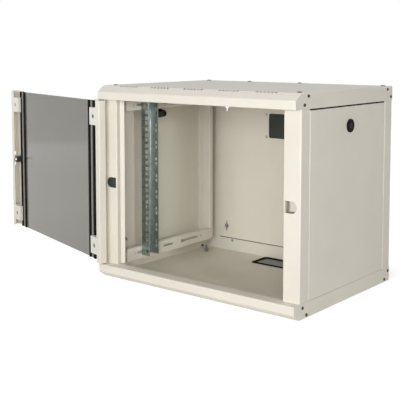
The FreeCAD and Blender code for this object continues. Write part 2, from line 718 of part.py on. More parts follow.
def depth_rail():
    """Lower right depth rail: slotted channel with a tab bent outward at each end."""
    high = RAIL_LOW + RAIL_TALL
    flange = RAIL_PLANE + RAIL_FLANGE
    path = [(flange, high), (RAIL_PLANE, high), (RAIL_PLANE, RAIL_LOW), (flange, RAIL_LOW)]
    rail = lengthwise(bent_sheet(path, RAIL_SHEET), POST_STEP, REAR_STEP)
    tab_x = RAIL_PLANE + RAIL_SHEET
    inset = BEND + RAIL_SHEET
    for y in (POST_STEP, REAR_STEP - RAIL_SHEET):
        rail = rail.fuse(box(tab_x, SIDE - TAB_FROM_SIDE, y, y + RAIL_SHEET, RAIL_LOW + inset, high - inset))
    z = slot_bolt_height()
    web = (RAIL_PLANE - RAIL_SHEET, 3 * RAIL_SHEET)
    cuts = [prism(radius, web[1], vec(web[0], y, z), AXIS_X, HEAD_SIDES) for y, radius in RAIL_HOLES]
    for start, end in RAIL_SLOTS:
        half = (end - start) / 2
        slot = oblong(half, RAIL_SLOT_RADIUS, start + half, z)
        cuts.append(across(slot, web[0], web[0] + web[1]))
    length = REAR_STEP - POST_STEP
    start = vec(TAB_BOLT_X, POST_STEP, rail_middle())
    cuts.append(prism(BOLT_RADIUS + BOLT_CLEAR, length, start, AXIS_Y))
    return rail.cut(cuts).removeSplitter()


def tab_bolts():
    """Screws and nuts that hold the depth rails to the posts."""
    screw = pan_screw(BOLT_RADIUS, SHEET + RAIL_SHEET + NUT_THICK, BOLT_HEAD_RADIUS, BOLT_HEAD)
    nut = hex_nut(NUT_FLATS, NUT_THICK, BOLT_RADIUS)
    z = rail_middle()
    front = POST_STEP + RAIL_SHEET
    rear = REAR_STEP - RAIL_SHEET
    screws = [facing(screw, AXIS_Y).translated(vec(TAB_BOLT_X, front, z)),
              facing(screw, -AXIS_Y).translated(vec(TAB_BOLT_X, rear, z))]
    nuts = [facing(nut, -AXIS_Y).translated(vec(TAB_BOLT_X, POST_STEP - SHEET, z)),
            facing(nut, AXIS_Y).translated(vec(TAB_BOLT_X, REAR_STEP + SHEET, z))]
    return everywhere(screws), everywhere(nuts)


def rack_bolt_y():
    return RACK_FACE + RACK_DEEP / 2


def rack_rail():
    """Right 19-inch rail: zinc channel with square holes in front and slots behind."""
    rear = RACK_FACE + RACK_DEEP
    path = [(RACK_HALF_OPENING, RACK_FACE), (RAIL_PLANE, RACK_FACE)]
    path += [(RAIL_PLANE, rear), (RACK_HALF_OPENING, rear)]
    high = RACK_LOW + RACK_UNITS * UNIT
    rail = upright(bent_sheet(path, RACK_SHEET), RACK_LOW - RACK_OVERHANG, high + RACK_OVERHANG)
    x = RACK_HOLE_X
    half = RACK_HOLE / 2
    front = (RACK_FACE - RACK_SHEET, RACK_FACE + 2 * RACK_SHEET)
    back = (rear - 2 * RACK_SHEET, rear + RACK_SHEET)
    web = polygon(RACK_WEB_HOLE_RADIUS, 6, rack_bolt_y(), 0.0)
    web_hole = across(web, RAIL_PLANE - 2 * RACK_SHEET, RAIL_PLANE + RACK_SHEET)
    cuts = []
    for unit in range(RACK_UNITS):
        base = RACK_LOW + unit * UNIT
        for z in UNIT_HOLES:
            cuts.append(box(x - half, x + half, *front, base + z - half, base + z + half))
        for z in (base + UNIT / 2 - RACK_SLOT_OFFSET, base + UNIT / 2 + RACK_SLOT_OFFSET):
            tall = RACK_SLOT_TALL / 2
            cuts.append(box(x - RACK_SLOT_WIDTH / 2, x + RACK_SLOT_WIDTH / 2, *back, z - tall, z + tall))
        if 0 < unit < RACK_UNITS - 1:
            for z in (base + UNIT / 4, base + 3 * UNIT / 4):
                cuts.append(web_hole.translated(vec(0, 0, z)))
    bolt = vec(RAIL_PLANE - 2 * RACK_SHEET, rack_bolt_y(), slot_bolt_height())
    cuts += both_ends([prism(BOLT_RADIUS + BOLT_CLEAR, 3 * RACK_SHEET, bolt, AXIS_X)])
    return rail.cut(cuts).removeSplitter()


def rack_rail_bolts():
    """Screws and nuts that clamp the rack rails to the depth rails' slots."""
    screw = pan_screw(BOLT_RADIUS, RACK_SHEET + RAIL_SHEET + NUT_THICK, BOLT_HEAD_RADIUS, BOLT_HEAD)
    nut = hex_nut(NUT_FLATS, NUT_THICK, BOLT_RADIUS)
    place = vec(RAIL_PLANE - RACK_SHEET, rack_bolt_y(), slot_bolt_height())
    screws = [facing(screw, -AXIS_X).translated(place)]
    nuts = [facing(nut, AXIS_X).translated(place + vec(RACK_SHEET + RAIL_SHEET, 0))]
    return everywhere(screws), everywhere(nuts)


def earth_point():
    """Earth bolt standing in the floor, and its two nuts."""
    place = vec(EARTH_X, REAR - EARTH_FROM_REAR, 0.0)
    bolt = prism(BOLT_RADIUS, EARTH_TALL - SEAM, place + vec(0, 0, SEAM), AXIS_Z)
    nut = hex_nut(NUT_FLATS, NUT_THICK, BOLT_RADIUS)
    heights = (SHEET, SHEET + NUT_THICK + SEAM)
    nuts = [nut.translated(place + vec(0, 0, z)) for z in heights]
    return bolt, Part.makeCompound(nuts)


# Cylinder locks, built with their axis on Z and the mounting face at z = 0
def lock_housing(barrel):
    """Flanged barrel of a cylinder lock."""
    flange = bevelled(LOCK_FLANGE_RADIUS, LOCK_FLANGE, LOCK_FLANGE_BEVEL, FLANGE_SIDES)
    housing = flange.fuse(prism(BARREL_RADIUS, barrel, vec(0, 0, -barrel), AXIS_Z, BARREL_SIDES))
    bore = rod(CYLINDER_RADIUS + CYLINDER_FIT, barrel + LOCK_FLANGE, vec(0, 0, -barrel), AXIS_Z)
    return housing.cut(bore).removeSplitter()


def lock_nut():
    """Hexagon nut that clamps the barrel behind the sheet."""
    nut = hex_nut(LOCK_NUT_FLATS, LOCK_NUT_THICK, BARREL_RADIUS, BARREL_SIDES)
    return nut.translated(vec(0, 0, -SHEET - LOCK_NUT_THICK))


def lock_cylinder(cam_face):
    """Turning plug with its keyway, and the square tail riveted over the cam."""
    plug = rod(CYLINDER_RADIUS, LOCK_FLANGE - SEAM - cam_face, vec(0, 0, cam_face), AXIS_Z)
    back = cam_face - CAM_SHEET
    tail = prism(CAM_TAIL_RADIUS, CAM_SHEET, vec(0, 0, back), AXIS_Z, TAIL_SIDES)
    rivet = prism(CAM_RIVET_RADIUS, CAM_RIVET, vec(0, 0, back - CAM_RIVET), AXIS_Z, HEAD_SIDES)
    top = LOCK_FLANGE - SEAM
    thick = KEYWAY_THICK / 2
    wide = KEYWAY_WIDE / 2
    keyway = box(-thick, thick, -wide, wide, top - KEYWAY_DEEP, top + 1)
    return plug.fuse([tail, rivet]).cut(keyway).removeSplitter()


def lock_cam(reach, wide, cam_face):
    """Cam plate that points along -Y from the lock's axis."""
    half = wide / 2
    shape = clipped(half, (reach + CAM_BACK) / 2, half * CAM_CORNER, 0.0, (CAM_BACK - reach) / 2)
    plate = upright(shape, cam_face - CAM_SHEET, cam_face)
    start = vec(0, 0, cam_face - CAM_SHEET)
    return plate.cut(prism(CAM_TAIL_RADIUS, CAM_SHEET, start, AXIS_Z, TAIL_SIDES))


def lock_key():
    """Key left in the door lock: a short blade in the keyway and a rounded bow."""
    top = LOCK_FLANGE - SEAM
    thick = KEYWAY_THICK / 2 - KEY_FIT
    half = KEYWAY_WIDE / 2 - KEY_FIT
    neck = top + KEY_NECK
    blade = box(-thick, thick, -half, half, top - KEYWAY_DEEP + KEY_FIT, neck + 1)
    bow_face = clipped(KEY_BOW_WIDE / 2, KEY_BOW / 2, KEY_BOW_BEVEL, 0.0, neck + KEY_BOW / 2)
    bow = across(bow_face, -thick, thick)
    start = vec(-2 * thick, 0, neck + KEY_BOW - KEY_HOLE_INSET)
    hole = prism(KEY_BOW_HOLE, 4 * thick, start, AXIS_X, HEAD_SIDES)
    return blade.fuse(bow).cut(hole).removeSplitter()


# Side panels
def side_panel():
    """Right side panel: folded edges, hooks at the foot and a lock hole near the top."""
    inner = SIDE - PANEL_FLANGE
    path = [(inner, PANEL_FRONT), (SIDE, PANEL_FRONT), (SIDE, PANEL_REAR), (inner, PANEL_REAR)]
    panel = upright(bent_sheet(path), PANEL_LOW, PANEL_HIGH)
    for i in (-1, 1):
        y = SIDE_LOCK_Y + i * HOOK_SPACING / 2
        span = (y - HOOK_WIDTH / 2, y + HOOK_WIDTH / 2)
        back = INNER_SIDE - HOOK_PLATE
        lap = box(back, INNER_SIDE, *span, PANEL_LOW, PANEL_LOW + HOOK_LAP)
        tip = box(back, INNER_SIDE - HOOK_CLEAR, *span, PANEL_LOW - HOOK_DROP, PANEL_LOW)
        panel = panel.fuse([lap, tip])
    start = vec(INNER_SIDE - SHEET, SIDE_LOCK_Y, SIDE_LOCK_HEIGHT)
    hole = prism(BARREL_RADIUS + BARREL_CLEAR, 3 * SHEET, start, AXIS_X, BARREL_SIDES)
    return panel.cut(hole).removeSplitter()


def panel_stud():
    """Earth stud welded inside the right side panel, with its nut."""
    place = vec(INNER_SIDE, PANEL_FRONT + STUD_SETBACK, BAND + STUD_ABOVE_BAND)
    stud = prism(STUD_RADIUS, STUD_LENGTH, place, -AXIS_X)
    nut = facing(hex_nut(NUT_FLATS, NUT_THICK, STUD_RADIUS), -AXIS_X)
    return Part.makeCompound([stud, nut.translated(place - vec(STUD_LENGTH / 3, 0))])


def panel_keeper():
    """Bracket inside the roof band that the right side panel's cam turns behind."""
    inner = SIDE - KEEPER_STANDOFF
    band_edge = HEIGHT - BAND
    step = band_edge + BEND + KEEPER_SHEET
    path = [(inner, band_edge - KEEPER_BELOW_BAND), (inner, step), (INNER_SIDE, step),
            (INNER_SIDE, band_edge + KEEPER_ABOVE_BAND)]
    half = KEEPER_WIDTH / 2
    return lengthwise(bent_sheet(path, KEEPER_SHEET), SIDE_LOCK_Y - half, SIDE_LOCK_Y + half)


def side_lock():
    """Housing, nut, cylinder and cam of the right side panel's lock, cam turned to the front."""
    cam_face = -(KEEPER_STANDOFF + KEEPER_SHEET + CAM_GAP)
    barrel = -cam_face - CAM_GAP
    turned_cam = lock_cam(SIDE_CAM_REACH, SIDE_CAM_WIDE, cam_face).rotated(ORIGIN, AXIS_Z, -90)
    turned_plug = lock_cylinder(cam_face).rotated(ORIGIN, AXIS_Z, -90)
    place = vec(SIDE, SIDE_LOCK_Y, SIDE_LOCK_HEIGHT)
    pieces = (lock_housing(barrel), lock_nut(), turned_plug, turned_cam)
    return [piece.rotated(ORIGIN, DIAGONAL, 120).translated(place) for piece in pieces]


# Door, drawn shut and then swung open
def swing(shape):
    """Open the door about its hinge pins."""
    return shape.rotated(vec(-HINGE_X, HINGE_Y), AXIS_Z, -DOOR_ANGLE)


def stile():
    """Lock-side upright of the door: a folded channel with a wide outer face."""
    path = [(SIDE - STILE_FACE, DOOR_FRONT), (SIDE, DOOR_FRONT)]
    path += [(SIDE, DOOR_BACK), (SIDE - STILE_FLANGE, DOOR_BACK)]
    return upright(bent_sheet(path), DOOR_LOW, DOOR_HIGH)


def lock_stile():
    """Stile with the lock's hole and two finger slots in its edge."""
    start = vec(SIDE - DOOR_LOCK_INSET, DOOR_FRONT - SHEET, STRIKE_HEIGHT)
    hole = prism(BARREL_RADIUS + BARREL_CLEAR, 3 * SHEET, start, AXIS_Y, BARREL_SIDES)
    y = (DOOR_FRONT + DOOR_BACK) / 2
    slots = []
    for i in (-1, 1):
        z = STRIKE_HEIGHT + i * LATCH_SLOT_TALL
        slot = oblong(LATCH_SLOT_WIDE / 2, LATCH_SLOT_TALL / 3, y, z)
        slots.append(across(slot, INNER_SIDE - SHEET, SIDE + SHEET))
    return stile().cut([hole] + slots)


def hinge_screw_places():
    """Heights of the screws in the lower hinge block."""
    middle = DOOR_LOW + HINGE_BLOCK_TALL / 2
    return [middle - HINGE_SCREW_PITCH / 2, middle + HINGE_SCREW_PITCH / 2]


def pin_bore_radius():
    """Corner radius of a many-sided bore whose flats grip the hinge pin."""
    return HINGE_PIN_RADIUS / math.cos(math.pi / BARREL_SIDES)


def hinge_block():
    """Lower hinge block inside the hinge stile, bored for the pin."""
    x0 = HINGE_BLOCK_FIT - INNER_SIDE
    x1 = x0 + HINGE_BLOCK_WIDE
    y0 = STILE_INSIDE + HINGE_BLOCK_FIT
    y1 = DOOR_BACK - SHEET - HINGE_BLOCK_FIT
    section = outline([(x0, y0), (x1, y0), (x1, y1), (x0, y1)], [BEND, 0.0, 0.0, BEND])
    block = upright(section, DOOR_LOW, DOOR_LOW + HINGE_BLOCK_TALL)
    foot = vec(-HINGE_X, HINGE_Y, DOOR_LOW)
    bore = prism(pin_bore_radius(), HINGE_BLOCK_TALL, foot, AXIS_Z, BARREL_SIDES)
    y = (DOOR_FRONT + DOOR_BACK) / 2
    shank = HINGE_SCREW_RADIUS / 2
    screws = [prism(shank, HINGE_SCREW_LENGTH, vec(-SIDE, y, z), AXIS_X) for z in hinge_screw_places()]
    return block.cut([bore] + screws)


def hinge_screws():
    """Raised screws through the hinge stile's edge into the blocks."""
    y = (DOOR_FRONT + DOOR_BACK) / 2
    shank = HINGE_SCREW_RADIUS / 2
    screw = facing(pan_screw(shank, HINGE_SCREW_LENGTH, HINGE_SCREW_RADIUS, HINGE_SCREW_HEAD), -AXIS_X)
    return both_ends([screw.translated(vec(-SIDE, y, z)) for z in hinge_screw_places()])


def hinge_stile():
    """Stile at the hinge, drilled for the block screws."""
    y = (DOOR_FRONT + DOOR_BACK) / 2
    shank = HINGE_SCREW_RADIUS / 2
    holes = [prism(shank, 3 * SHEET, vec(-SIDE - SHEET, y, z), AXIS_X) for z in hinge_screw_places()]
    return mirrored(stile()).cut(both_ends(holes))


def hinge_pin():
    """Lower hinge pin, from its block down through the base tray's lip."""
    low = BAND - HINGE_PIN_REACH
    return rod(HINGE_PIN_RADIUS, DOOR_LOW + HINGE_BLOCK_TALL - low, vec(-HINGE_X, HINGE_Y, low), AXIS_Z)


def hinge_washer():
    """Washer on the lower pin between the door and the base tray's lip."""
    place = vec(-HINGE_X, HINGE_Y, BAND + SEAM)
    thick = DOOR_GAP - SEAM
    washer = prism(HINGE_WASHER_RADIUS, thick, place, AXIS_Z, BARREL_SIDES)
    return washer.cut(prism(pin_bore_radius(), thick, place, AXIS_Z, BARREL_SIDES))


def door_glass():
    """Tinted pane between the two stiles."""
    pane = clipped(GLASS_EDGE, GLASS / 2, GLASS_ARRIS, 0.0, (GLASS_FRONT + GLASS_BACK) / 2)
    return upright(pane, DOOR_LOW + GLASS_END, DOOR_HIGH - GLASS_END)


def glass_gasket():
    """Lock-side rubber channel on the pane's edge, with two ribs on its wide back."""
    front_leg = SIDE - STILE_FACE
    edge = GLASS_EDGE + RUBBER
    back = GLASS_BACK + RUBBER
    inner = edge - RUBBER_BACK
    rib = back + RUBBER_RIB
    rib_one = edge - RUBBER_RIB_WIDE
    rib_two = inner + RUBBER_RIB_WIDE
    points = [(front_leg, STILE_INSIDE), (edge, STILE_INSIDE), (edge, rib), (rib_one, rib), (rib_one, back)]
    points += [(rib_two, back), (rib_two, rib), (inner, rib), (inner, GLASS_BACK)]
    points += [(GLASS_EDGE, GLASS_BACK), (GLASS_EDGE, GLASS_FRONT), (front_leg, GLASS_FRONT)]
    return upright(outline(points, [0.0] * len(points)), DOOR_LOW + GLASS_END, DOOR_HIGH - GLASS_END)


def clamp_middle():
    """Centre (x, z) of the upper lock-side glass clamp's screw."""
    outer = SIDE - STILE_FLANGE - CLAMP_CLEAR
    return (outer + GLASS_EDGE + RUBBER) / 2, DOOR_HIGH - CLAMP_END - CLAMP_TALL / 2


def glass_clamp():
    """Upper lock-side clamp block: stands on the stile and bears on the gasket's rib."""
    outer = SIDE - STILE_FLANGE - CLAMP_CLEAR
    edge = GLASS_EDGE + RUBBER + CLAMP_CLEAR
    rib = GLASS_BACK + RUBBER + RUBBER_RIB
    inner = outer - CLAMP_WIDE
    points = [(outer, STILE_INSIDE), (outer, DOOR_BACK), (inner, DOOR_BACK), (inner, rib)]
    points += [(edge, rib), (edge, STILE_INSIDE)]
    high = DOOR_HIGH - CLAMP_END
    block = upright(outline(points, [0.0, BEND, BEND, 0.0, 0.0, 0.0]), high - CLAMP_TALL, high)
    x, z = clamp_middle()
    sunk = prism(CLAMP_SCREW_BORE, CLAMP_SCREW_SUNK, vec(x, DOOR_BACK, z), -AXIS_Y, HEAD_SIDES)
    through = prism(SCREW_RADIUS, DOOR_THICK, vec(x, DOOR_BACK, z), -AXIS_Y)
    return block.cut([sunk, through]).removeSplitter()


def clamp_screw():
    """Screw sunk in the upper lock-side clamp, down to the stile's outer face."""
    x, z = clamp_middle()
    seat = DOOR_BACK - CLAMP_SCREW_SUNK
    screw = pan_screw(SCREW_RADIUS, seat - STILE_INSIDE, SCREW_HEAD_RADIUS, CLAMP_SCREW_HEAD)
    return facing(screw, AXIS_Y).translated(vec(x, seat, z))


def door_lock():
    """Housing, nut, cylinder, cam and key of the door lock, cam pointing down and key lying flat."""
    cam_face = -(POST_FRONT + SHEET + CAM_GAP - DOOR_FRONT)
    barrel = DOOR_THICK + DOOR_BARREL_STOP - CAM_GAP
    place = vec(SIDE - DOOR_LOCK_INSET, DOOR_FRONT, STRIKE_HEIGHT)
    plug = lock_cylinder(cam_face).rotated(ORIGIN, AXIS_Z, 90)
    key = lock_key().rotated(ORIGIN, AXIS_Z, 90)
    cam = lock_cam(DOOR_CAM_REACH, DOOR_CAM_WIDE, cam_face)
    pieces = (lock_housing(barrel), lock_nut(), plug, cam, key)
    return [piece.rotated(ORIGIN, AXIS_X, 90).translated(place) for piece in pieces]


def frame_nodes():
    """Pieces that stand still."""
    post = front_post()
    back_post = rear_post()
    rail = depth_rail()
    rack = rack_rail()
    keeper = panel_keeper()
    tab_screws, tab_nuts = tab_bolts()
    rack_screws, rack_nuts = rack_rail_bolts()
    bolt, bolt_nuts = earth_point()
    return {
        "base_tray": base_tray(), "roof_tray": roof_tray(), "roof_plugs": roof_plugs(),
        "corner_screws": corner_screws(), "floor_entry_trim": floor_entry_trim(),
        "front_post_right": post, "front_post_left": mirrored(post),
        "rear_post_right": back_post, "rear_post_left": mirrored(back_post),
        "strike_plate": strike_plate(), "strike_hole_plug": strike_hole_plug(),
        "rear_panel": rear_panel(), "rear_panel_screws": rear_panel_screws(),
        "rear_entry_cover": rear_entry_cover(), "rear_cover_screws": rear_cover_screws(),
        "depth_rail_lower_right": rail, "depth_rail_lower_left": mirrored(rail),
        "depth_rail_upper_right": upside_down(rail), "depth_rail_upper_left": mirrored(upside_down(rail)),
        "depth_rail_screws": tab_screws, "depth_rail_nuts": tab_nuts,
        "rack_rail_right": rack, "rack_rail_left": mirrored(rack),
        "rack_rail_screws": rack_screws, "rack_rail_nuts": rack_nuts,
        "panel_keeper_right": keeper, "panel_keeper_left": mirrored(keeper),
        "earth_bolt": bolt, "earth_nuts": bolt_nuts,
    }


def panel_nodes():
    """Both side panels with their locks."""
    names = ("side_lock_housing", "side_lock_nut", "side_lock_cylinder", "side_lock_cam")
    right = {"side_panel": side_panel(), "panel_stud": panel_stud()}
    right.update(zip(names, side_lock()))
    nodes = {name + "_right": shape for name, shape in right.items()}
    nodes.update({name + "_left": mirrored(shape) for name, shape in right.items()})
    return nodes


def door_nodes():
    """Door pieces, drawn shut."""
    gasket = glass_gasket()
    housing, nut, cylinder, cam, key = door_lock()
    return {
        "door_stile_hinge": hinge_stile(), "door_stile_lock": lock_stile(), "door_glass": door_glass(),
        "glass_gasket_lock": gasket, "glass_gasket_hinge": mirrored(gasket),
        "glass_clamps": everywhere([glass_clamp()]),
        "clamp_screws": everywhere([clamp_screw()]),
        "hinge_block_lower": hinge_block(), "hinge_block_upper": upside_down(hinge_block()),
        "hinge_pin_lower": hinge_pin(), "hinge_pin_upper": upside_down(hinge_pin()),
        "hinge_washers": Part.makeCompound(both_ends([hinge_washer()])),
        "hinge_block_screws": Part.makeCompound(hinge_screws()),
        "door_lock_housing": housing, "door_lock_nut": nut,
        "door_lock_cylinder": cylinder, "door_lock_cam": cam, "door_lock_key": key,
    }


def main():
    nodes = frame_nodes()
    nodes.update(panel_nodes())
    nodes.update({name: swing(shape) for name, shape in door_nodes().items()})
    os.makedirs("parts", exist_ok=True)
    for name, shape in nodes.items():
        shape.exportStep("parts/" + name + ".step")


main()
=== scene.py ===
"""Nine-unit 19-inch wall cabinet in folded steel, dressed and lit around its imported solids."""

import logging
import math
from dataclasses import dataclass, field
from enum import Enum
from typing import Any, Iterable, Sequence

import bmesh
import bpy
from mathutils import Matrix, Vector

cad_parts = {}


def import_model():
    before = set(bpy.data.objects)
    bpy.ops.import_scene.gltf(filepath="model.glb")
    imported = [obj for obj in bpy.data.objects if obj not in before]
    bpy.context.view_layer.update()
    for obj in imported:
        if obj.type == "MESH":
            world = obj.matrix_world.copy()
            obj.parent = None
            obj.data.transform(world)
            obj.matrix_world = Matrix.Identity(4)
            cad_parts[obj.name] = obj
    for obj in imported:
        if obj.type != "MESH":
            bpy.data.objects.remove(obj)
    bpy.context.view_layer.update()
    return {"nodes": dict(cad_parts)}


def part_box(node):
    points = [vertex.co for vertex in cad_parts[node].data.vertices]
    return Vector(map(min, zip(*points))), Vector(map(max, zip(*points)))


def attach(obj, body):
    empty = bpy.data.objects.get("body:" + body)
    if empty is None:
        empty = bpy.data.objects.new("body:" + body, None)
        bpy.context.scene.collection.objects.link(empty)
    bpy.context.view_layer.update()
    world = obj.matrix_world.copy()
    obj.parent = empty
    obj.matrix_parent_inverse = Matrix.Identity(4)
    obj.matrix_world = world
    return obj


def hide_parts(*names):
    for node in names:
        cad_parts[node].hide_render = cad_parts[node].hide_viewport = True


LOG = logging.getLogger("rack_cabinet")

Point = tuple[float, float, float]
Pairs = tuple[tuple[float, float], ...]
Seat = tuple[Point, Point]
Area = tuple[tuple[float, float], tuple[float, float]]

# The cabinet's sizes are in millimetres and the studio's in metres.
MM = 0.001
HALF_WIDTH = 300.0
HALF_HEIGHT = 250.0
# Hinge line of the door, and how far the door stands open.
HINGE_AXIS = Vector((-291.5, -217.8, 0.0))
DOOR_SWING = math.radians(-197.2)
# Each screw of a set is left turned this far past the one before it.
SCREW_TURN = math.radians(37.0)
# Sides of a turned screw, plug or ring, and of a larger lock housing.
ROUND_SIDES = 28
HOUSING_SIDES = 48
# Steepest angle, in degrees, that still shades smooth.
SMOOTH_ANGLE = 35.0
# Which way a screw's head or a lock's face looks.
RIGHT = (1, 0, 0)
LEFT = (-1, 0, 0)
REAR = (0, 1, 0)
FRONT = (0, -1, 0)
# Signs of X and of Z for the copies of what is placed in the right lower quarter.
EVERYWHERE = ((1, 1), (-1, 1), (1, -1), (-1, -1))
BOTH_SIDES = ((1, 1), (-1, 1))
BOTH_ENDS = ((1, 1), (1, -1))


# Colour and shader helpers


def linear(colour: str) -> tuple[float, float, float, float]:
    """Turn an sRGB hex colour into linear RGBA.

    Args:
        colour: Six hex digits, such as "dad6cb".

    Returns:
        Linear red, green, blue and an alpha of one.
    """
    parts = [int(colour[i:i + 2], 16) / 255 for i in (0, 2, 4)]
    flat = [c / 12.92 if c <= 0.04045 else ((c + 0.055) / 1.055) ** 2.4 for c in parts]
    return flat[0], flat[1], flat[2], 1.0


def per_metre(size_mm: float) -> float:
    """Texture scale, in repeats a metre, of a pattern of that size in millimetres."""
    return 1.0 / (size_mm * MM)


def add(tree: bpy.types.NodeTree, kind: str, settings: dict[str, Any] | None = None,
        **inputs: Any) -> bpy.types.Node:
    """Add one shader node with its settings, values and links.

    Args:
        tree: Node tree that takes the node.
        kind: Node type without its "ShaderNode" prefix.
        settings: Properties of the node itself.
        **inputs: Input name, with underscores for spaces, or "i" and a number for an input known by
            its place, to a value or to the socket that feeds it.

    Returns:
        The new node.
    """
    node = tree.nodes.new("ShaderNode" + kind)
    for name, value in (settings or {}).items():
        setattr(node, name, value)
    for name, value in inputs.items():
        key = int(name[1:]) if name[0] == "i" and name[1:].isdigit() else name.replace("_", " ")
        if isinstance(value, bpy.types.NodeSocket):
            tree.links.new(value, node.inputs[key])
        else:
            node.inputs[key].default_value = value
    return node


# Surfaces


class Grain(Enum):
    """How a surface's finest pattern was made."""

    PEEL = "peel"
    ROLLED = "rolled"
    SPARK = "spark"


# Steps of noise in the relief. A spark-eroded grain is drawn as cells instead.
GRAIN_DETAIL = {Grain.PEEL: 1.0, Grain.ROLLED: 4.0}


@dataclass(frozen=True)
class Surface:
    """A named material. Each kind of surface draws its own shader."""

    name: str

    def material(self) -> bpy.types.Material:
        """Find the material, or make it on its first use.

        Returns:
            The one material of this name.
        """
        found = bpy.data.materials.get(self.name)
        if found:
            return found
        material = bpy.data.materials.new(self.name)
        material.use_nodes = True
        tree = material.node_tree
        tree.nodes.clear()
        add(tree, "OutputMaterial", Surface=self.shader(tree))
        return material

    def shader(self, tree: bpy.types.NodeTree) -> bpy.types.NodeSocket:
        """Draw the surface in a node tree and return the socket of its shader."""
        raise NotImplementedError


@dataclass(frozen=True)
class Finish(Surface):
    """One surface finish: two tones mixed by a broad mottling, and a fine relief."""

    light: str
    dark: str
    roughness: float
    mottle_mm: float
    grain_mm: float
    relief_mm: float
    metallic: float = 0.0
    specular: float = 0.5
    stretch: Point = (1.0, 1.0, 1.0)
    grain: Grain = Grain.PEEL
    polish: float = 0.08
    mottle_detail: float = 3.0
    tone_ends: tuple[float, float] = (0.3, 0.7)
    bump: float = 0.6

    def shader(self, tree: bpy.types.NodeTree) -> bpy.types.NodeSocket:
        """Mottled colour, uneven polish and grain relief.

        Args:
            tree: Node tree of the material.

        Returns:
            The socket of the shader.
        """
        place = add(tree, "TexCoord").outputs["Object"]
        mottle = add(tree, "TexNoise", Vector=place, Scale=per_metre(self.mottle_mm),
                     Detail=self.mottle_detail)
        tones = add(tree, "ValToRGB", Fac=mottle.outputs["Fac"])
        for stop, end, tone in zip(tones.color_ramp.elements, self.tone_ends, (self.dark, self.light)):
            stop.position = end
            stop.color = linear(tone)
        drawn = add(tree, "Mapping", Vector=place, Scale=Vector(self.stretch)).outputs["Vector"]
        scale = per_metre(self.grain_mm)
        if self.grain is Grain.SPARK:
            relief = add(tree, "TexVoronoi", Vector=drawn, Scale=scale).outputs["Distance"]
        else:
            noise = add(tree, "TexNoise", Vector=drawn, Scale=scale, Detail=GRAIN_DETAIL[self.grain])
            relief = noise.outputs["Fac"]
        gloss = add(tree, "MapRange", Value=relief, To_Min=self.roughness - self.polish,
                    To_Max=self.roughness + self.polish)
        bump = add(tree, "Bump", Height=relief, Strength=self.bump, Distance=self.relief_mm * MM)
        shader = add(tree, "BsdfPrincipled", Base_Color=tones.outputs["Color"], Metallic=self.metallic,
                     Roughness=gloss.outputs["Result"], Specular_IOR_Level=self.specular,
                     Normal=bump.outputs["Normal"])
        return shader.outputs["BSDF"]


@dataclass(frozen=True)
class TintedGlass(Surface):
    """Grey float glass: clear, polished, with its tint in the body of the pane."""

    tint: str
    streak: str
    roughness: float
    streak_mm: float
    streak_detail: float = 2.0
    stretch: Point = (1.0, 1.0, 0.15)
    ior: float = 1.52

    def shader(self, tree: bpy.types.NodeTree) -> bpy.types.NodeSocket:
        """See-through tint with the draw lines of float glass.

        Args:
            tree: Node tree of the material.

        Returns:
            The socket of the shader.
        """
        place = add(tree, "TexCoord").outputs["Object"]
        drawn = add(tree, "Mapping", Vector=place, Scale=Vector(self.stretch)).outputs["Vector"]
        waves = add(tree, "TexNoise", Vector=drawn, Scale=per_metre(self.streak_mm),
                    Detail=self.streak_detail)
        tones = add(tree, "ValToRGB", Fac=waves.outputs["Fac"])
        for stop, tone in zip(tones.color_ramp.elements, (self.streak, self.tint)):
            stop.color = linear(tone)
        shader = add(tree, "BsdfPrincipled", Base_Color=tones.outputs["Color"], Roughness=self.roughness,
                     Transmission_Weight=1.0, IOR=self.ior)
        return shader.outputs["BSDF"]


# The grains of metal, plastic, rubber and ink are finer on the real surfaces than the sizes here, and are
# drawn this coarse so that they show.

# Light grey polyester powder coat, sprayed and baked on steel: satin, with a fine orange peel.
# The peel is 1 mm on the real sheet and drawn at 2 mm so that it breaks up the highlights.
POWDER_COAT = Finish("powder_coated_steel_light_grey", light="e7e2d5", dark="e3ded1", roughness=0.42,
                     mottle_mm=90.0, grain_mm=2.0, relief_mm=0.03)
# Bright zinc plate on rolled steel strip: a cool silver with a faint green cast and rolling lines.
ZINC = Finish("zinc_plated_steel_rolled", light="b3bcb8", dark="98a29e", roughness=0.34, mottle_mm=14.0,
              grain_mm=1.2, relief_mm=0.02, metallic=1.0, stretch=(1.0, 1.0, 0.08), grain=Grain.ROLLED)
# Nickel plate on turned brass, for the door's lock plug, key and strike: warm, bright and smooth.
NICKEL = Finish("nickel_plated_brass_turned", light="cfccc2", dark="b9b6ac", roughness=0.24, mottle_mm=6.0,
                grain_mm=0.6, relief_mm=0.01, metallic=1.0)
# Black nickel on the die-cast plugs of the side locks: dark, with a soft metallic shine.
BLACK_NICKEL = Finish("black_nickel_die_cast_zinc", light="2f2d29", dark="262521", roughness=0.36,
                      mottle_mm=6.0, grain_mm=0.6, relief_mm=0.01, metallic=1.0)
# Black paint on pressed steel: deep, satin, with a fine peel.
BLACK_STEEL = Finish("black_painted_steel_pressed", light="2c2d2a", dark="232422", roughness=0.46,
                     mottle_mm=25.0, grain_mm=1.0, relief_mm=0.02)
# Black ABS, moulded in a spark-eroded tool: matt, with a pebbled grain.
BLACK_ABS = Finish("black_abs_moulded", light="303230", dark="282a28", roughness=0.5, mottle_mm=8.0,
                   grain_mm=0.8, relief_mm=0.03, grain=Grain.SPARK)
# Black ABS of the side locks, moulded in a polished tool: no pebbled grain, so it reads a deeper black.
LOCK_ABS = Finish("black_abs_moulded_polished", light="181715", dark="121110", roughness=0.5, mottle_mm=8.0,
                  grain_mm=0.8, relief_mm=0.01, specular=0.05)
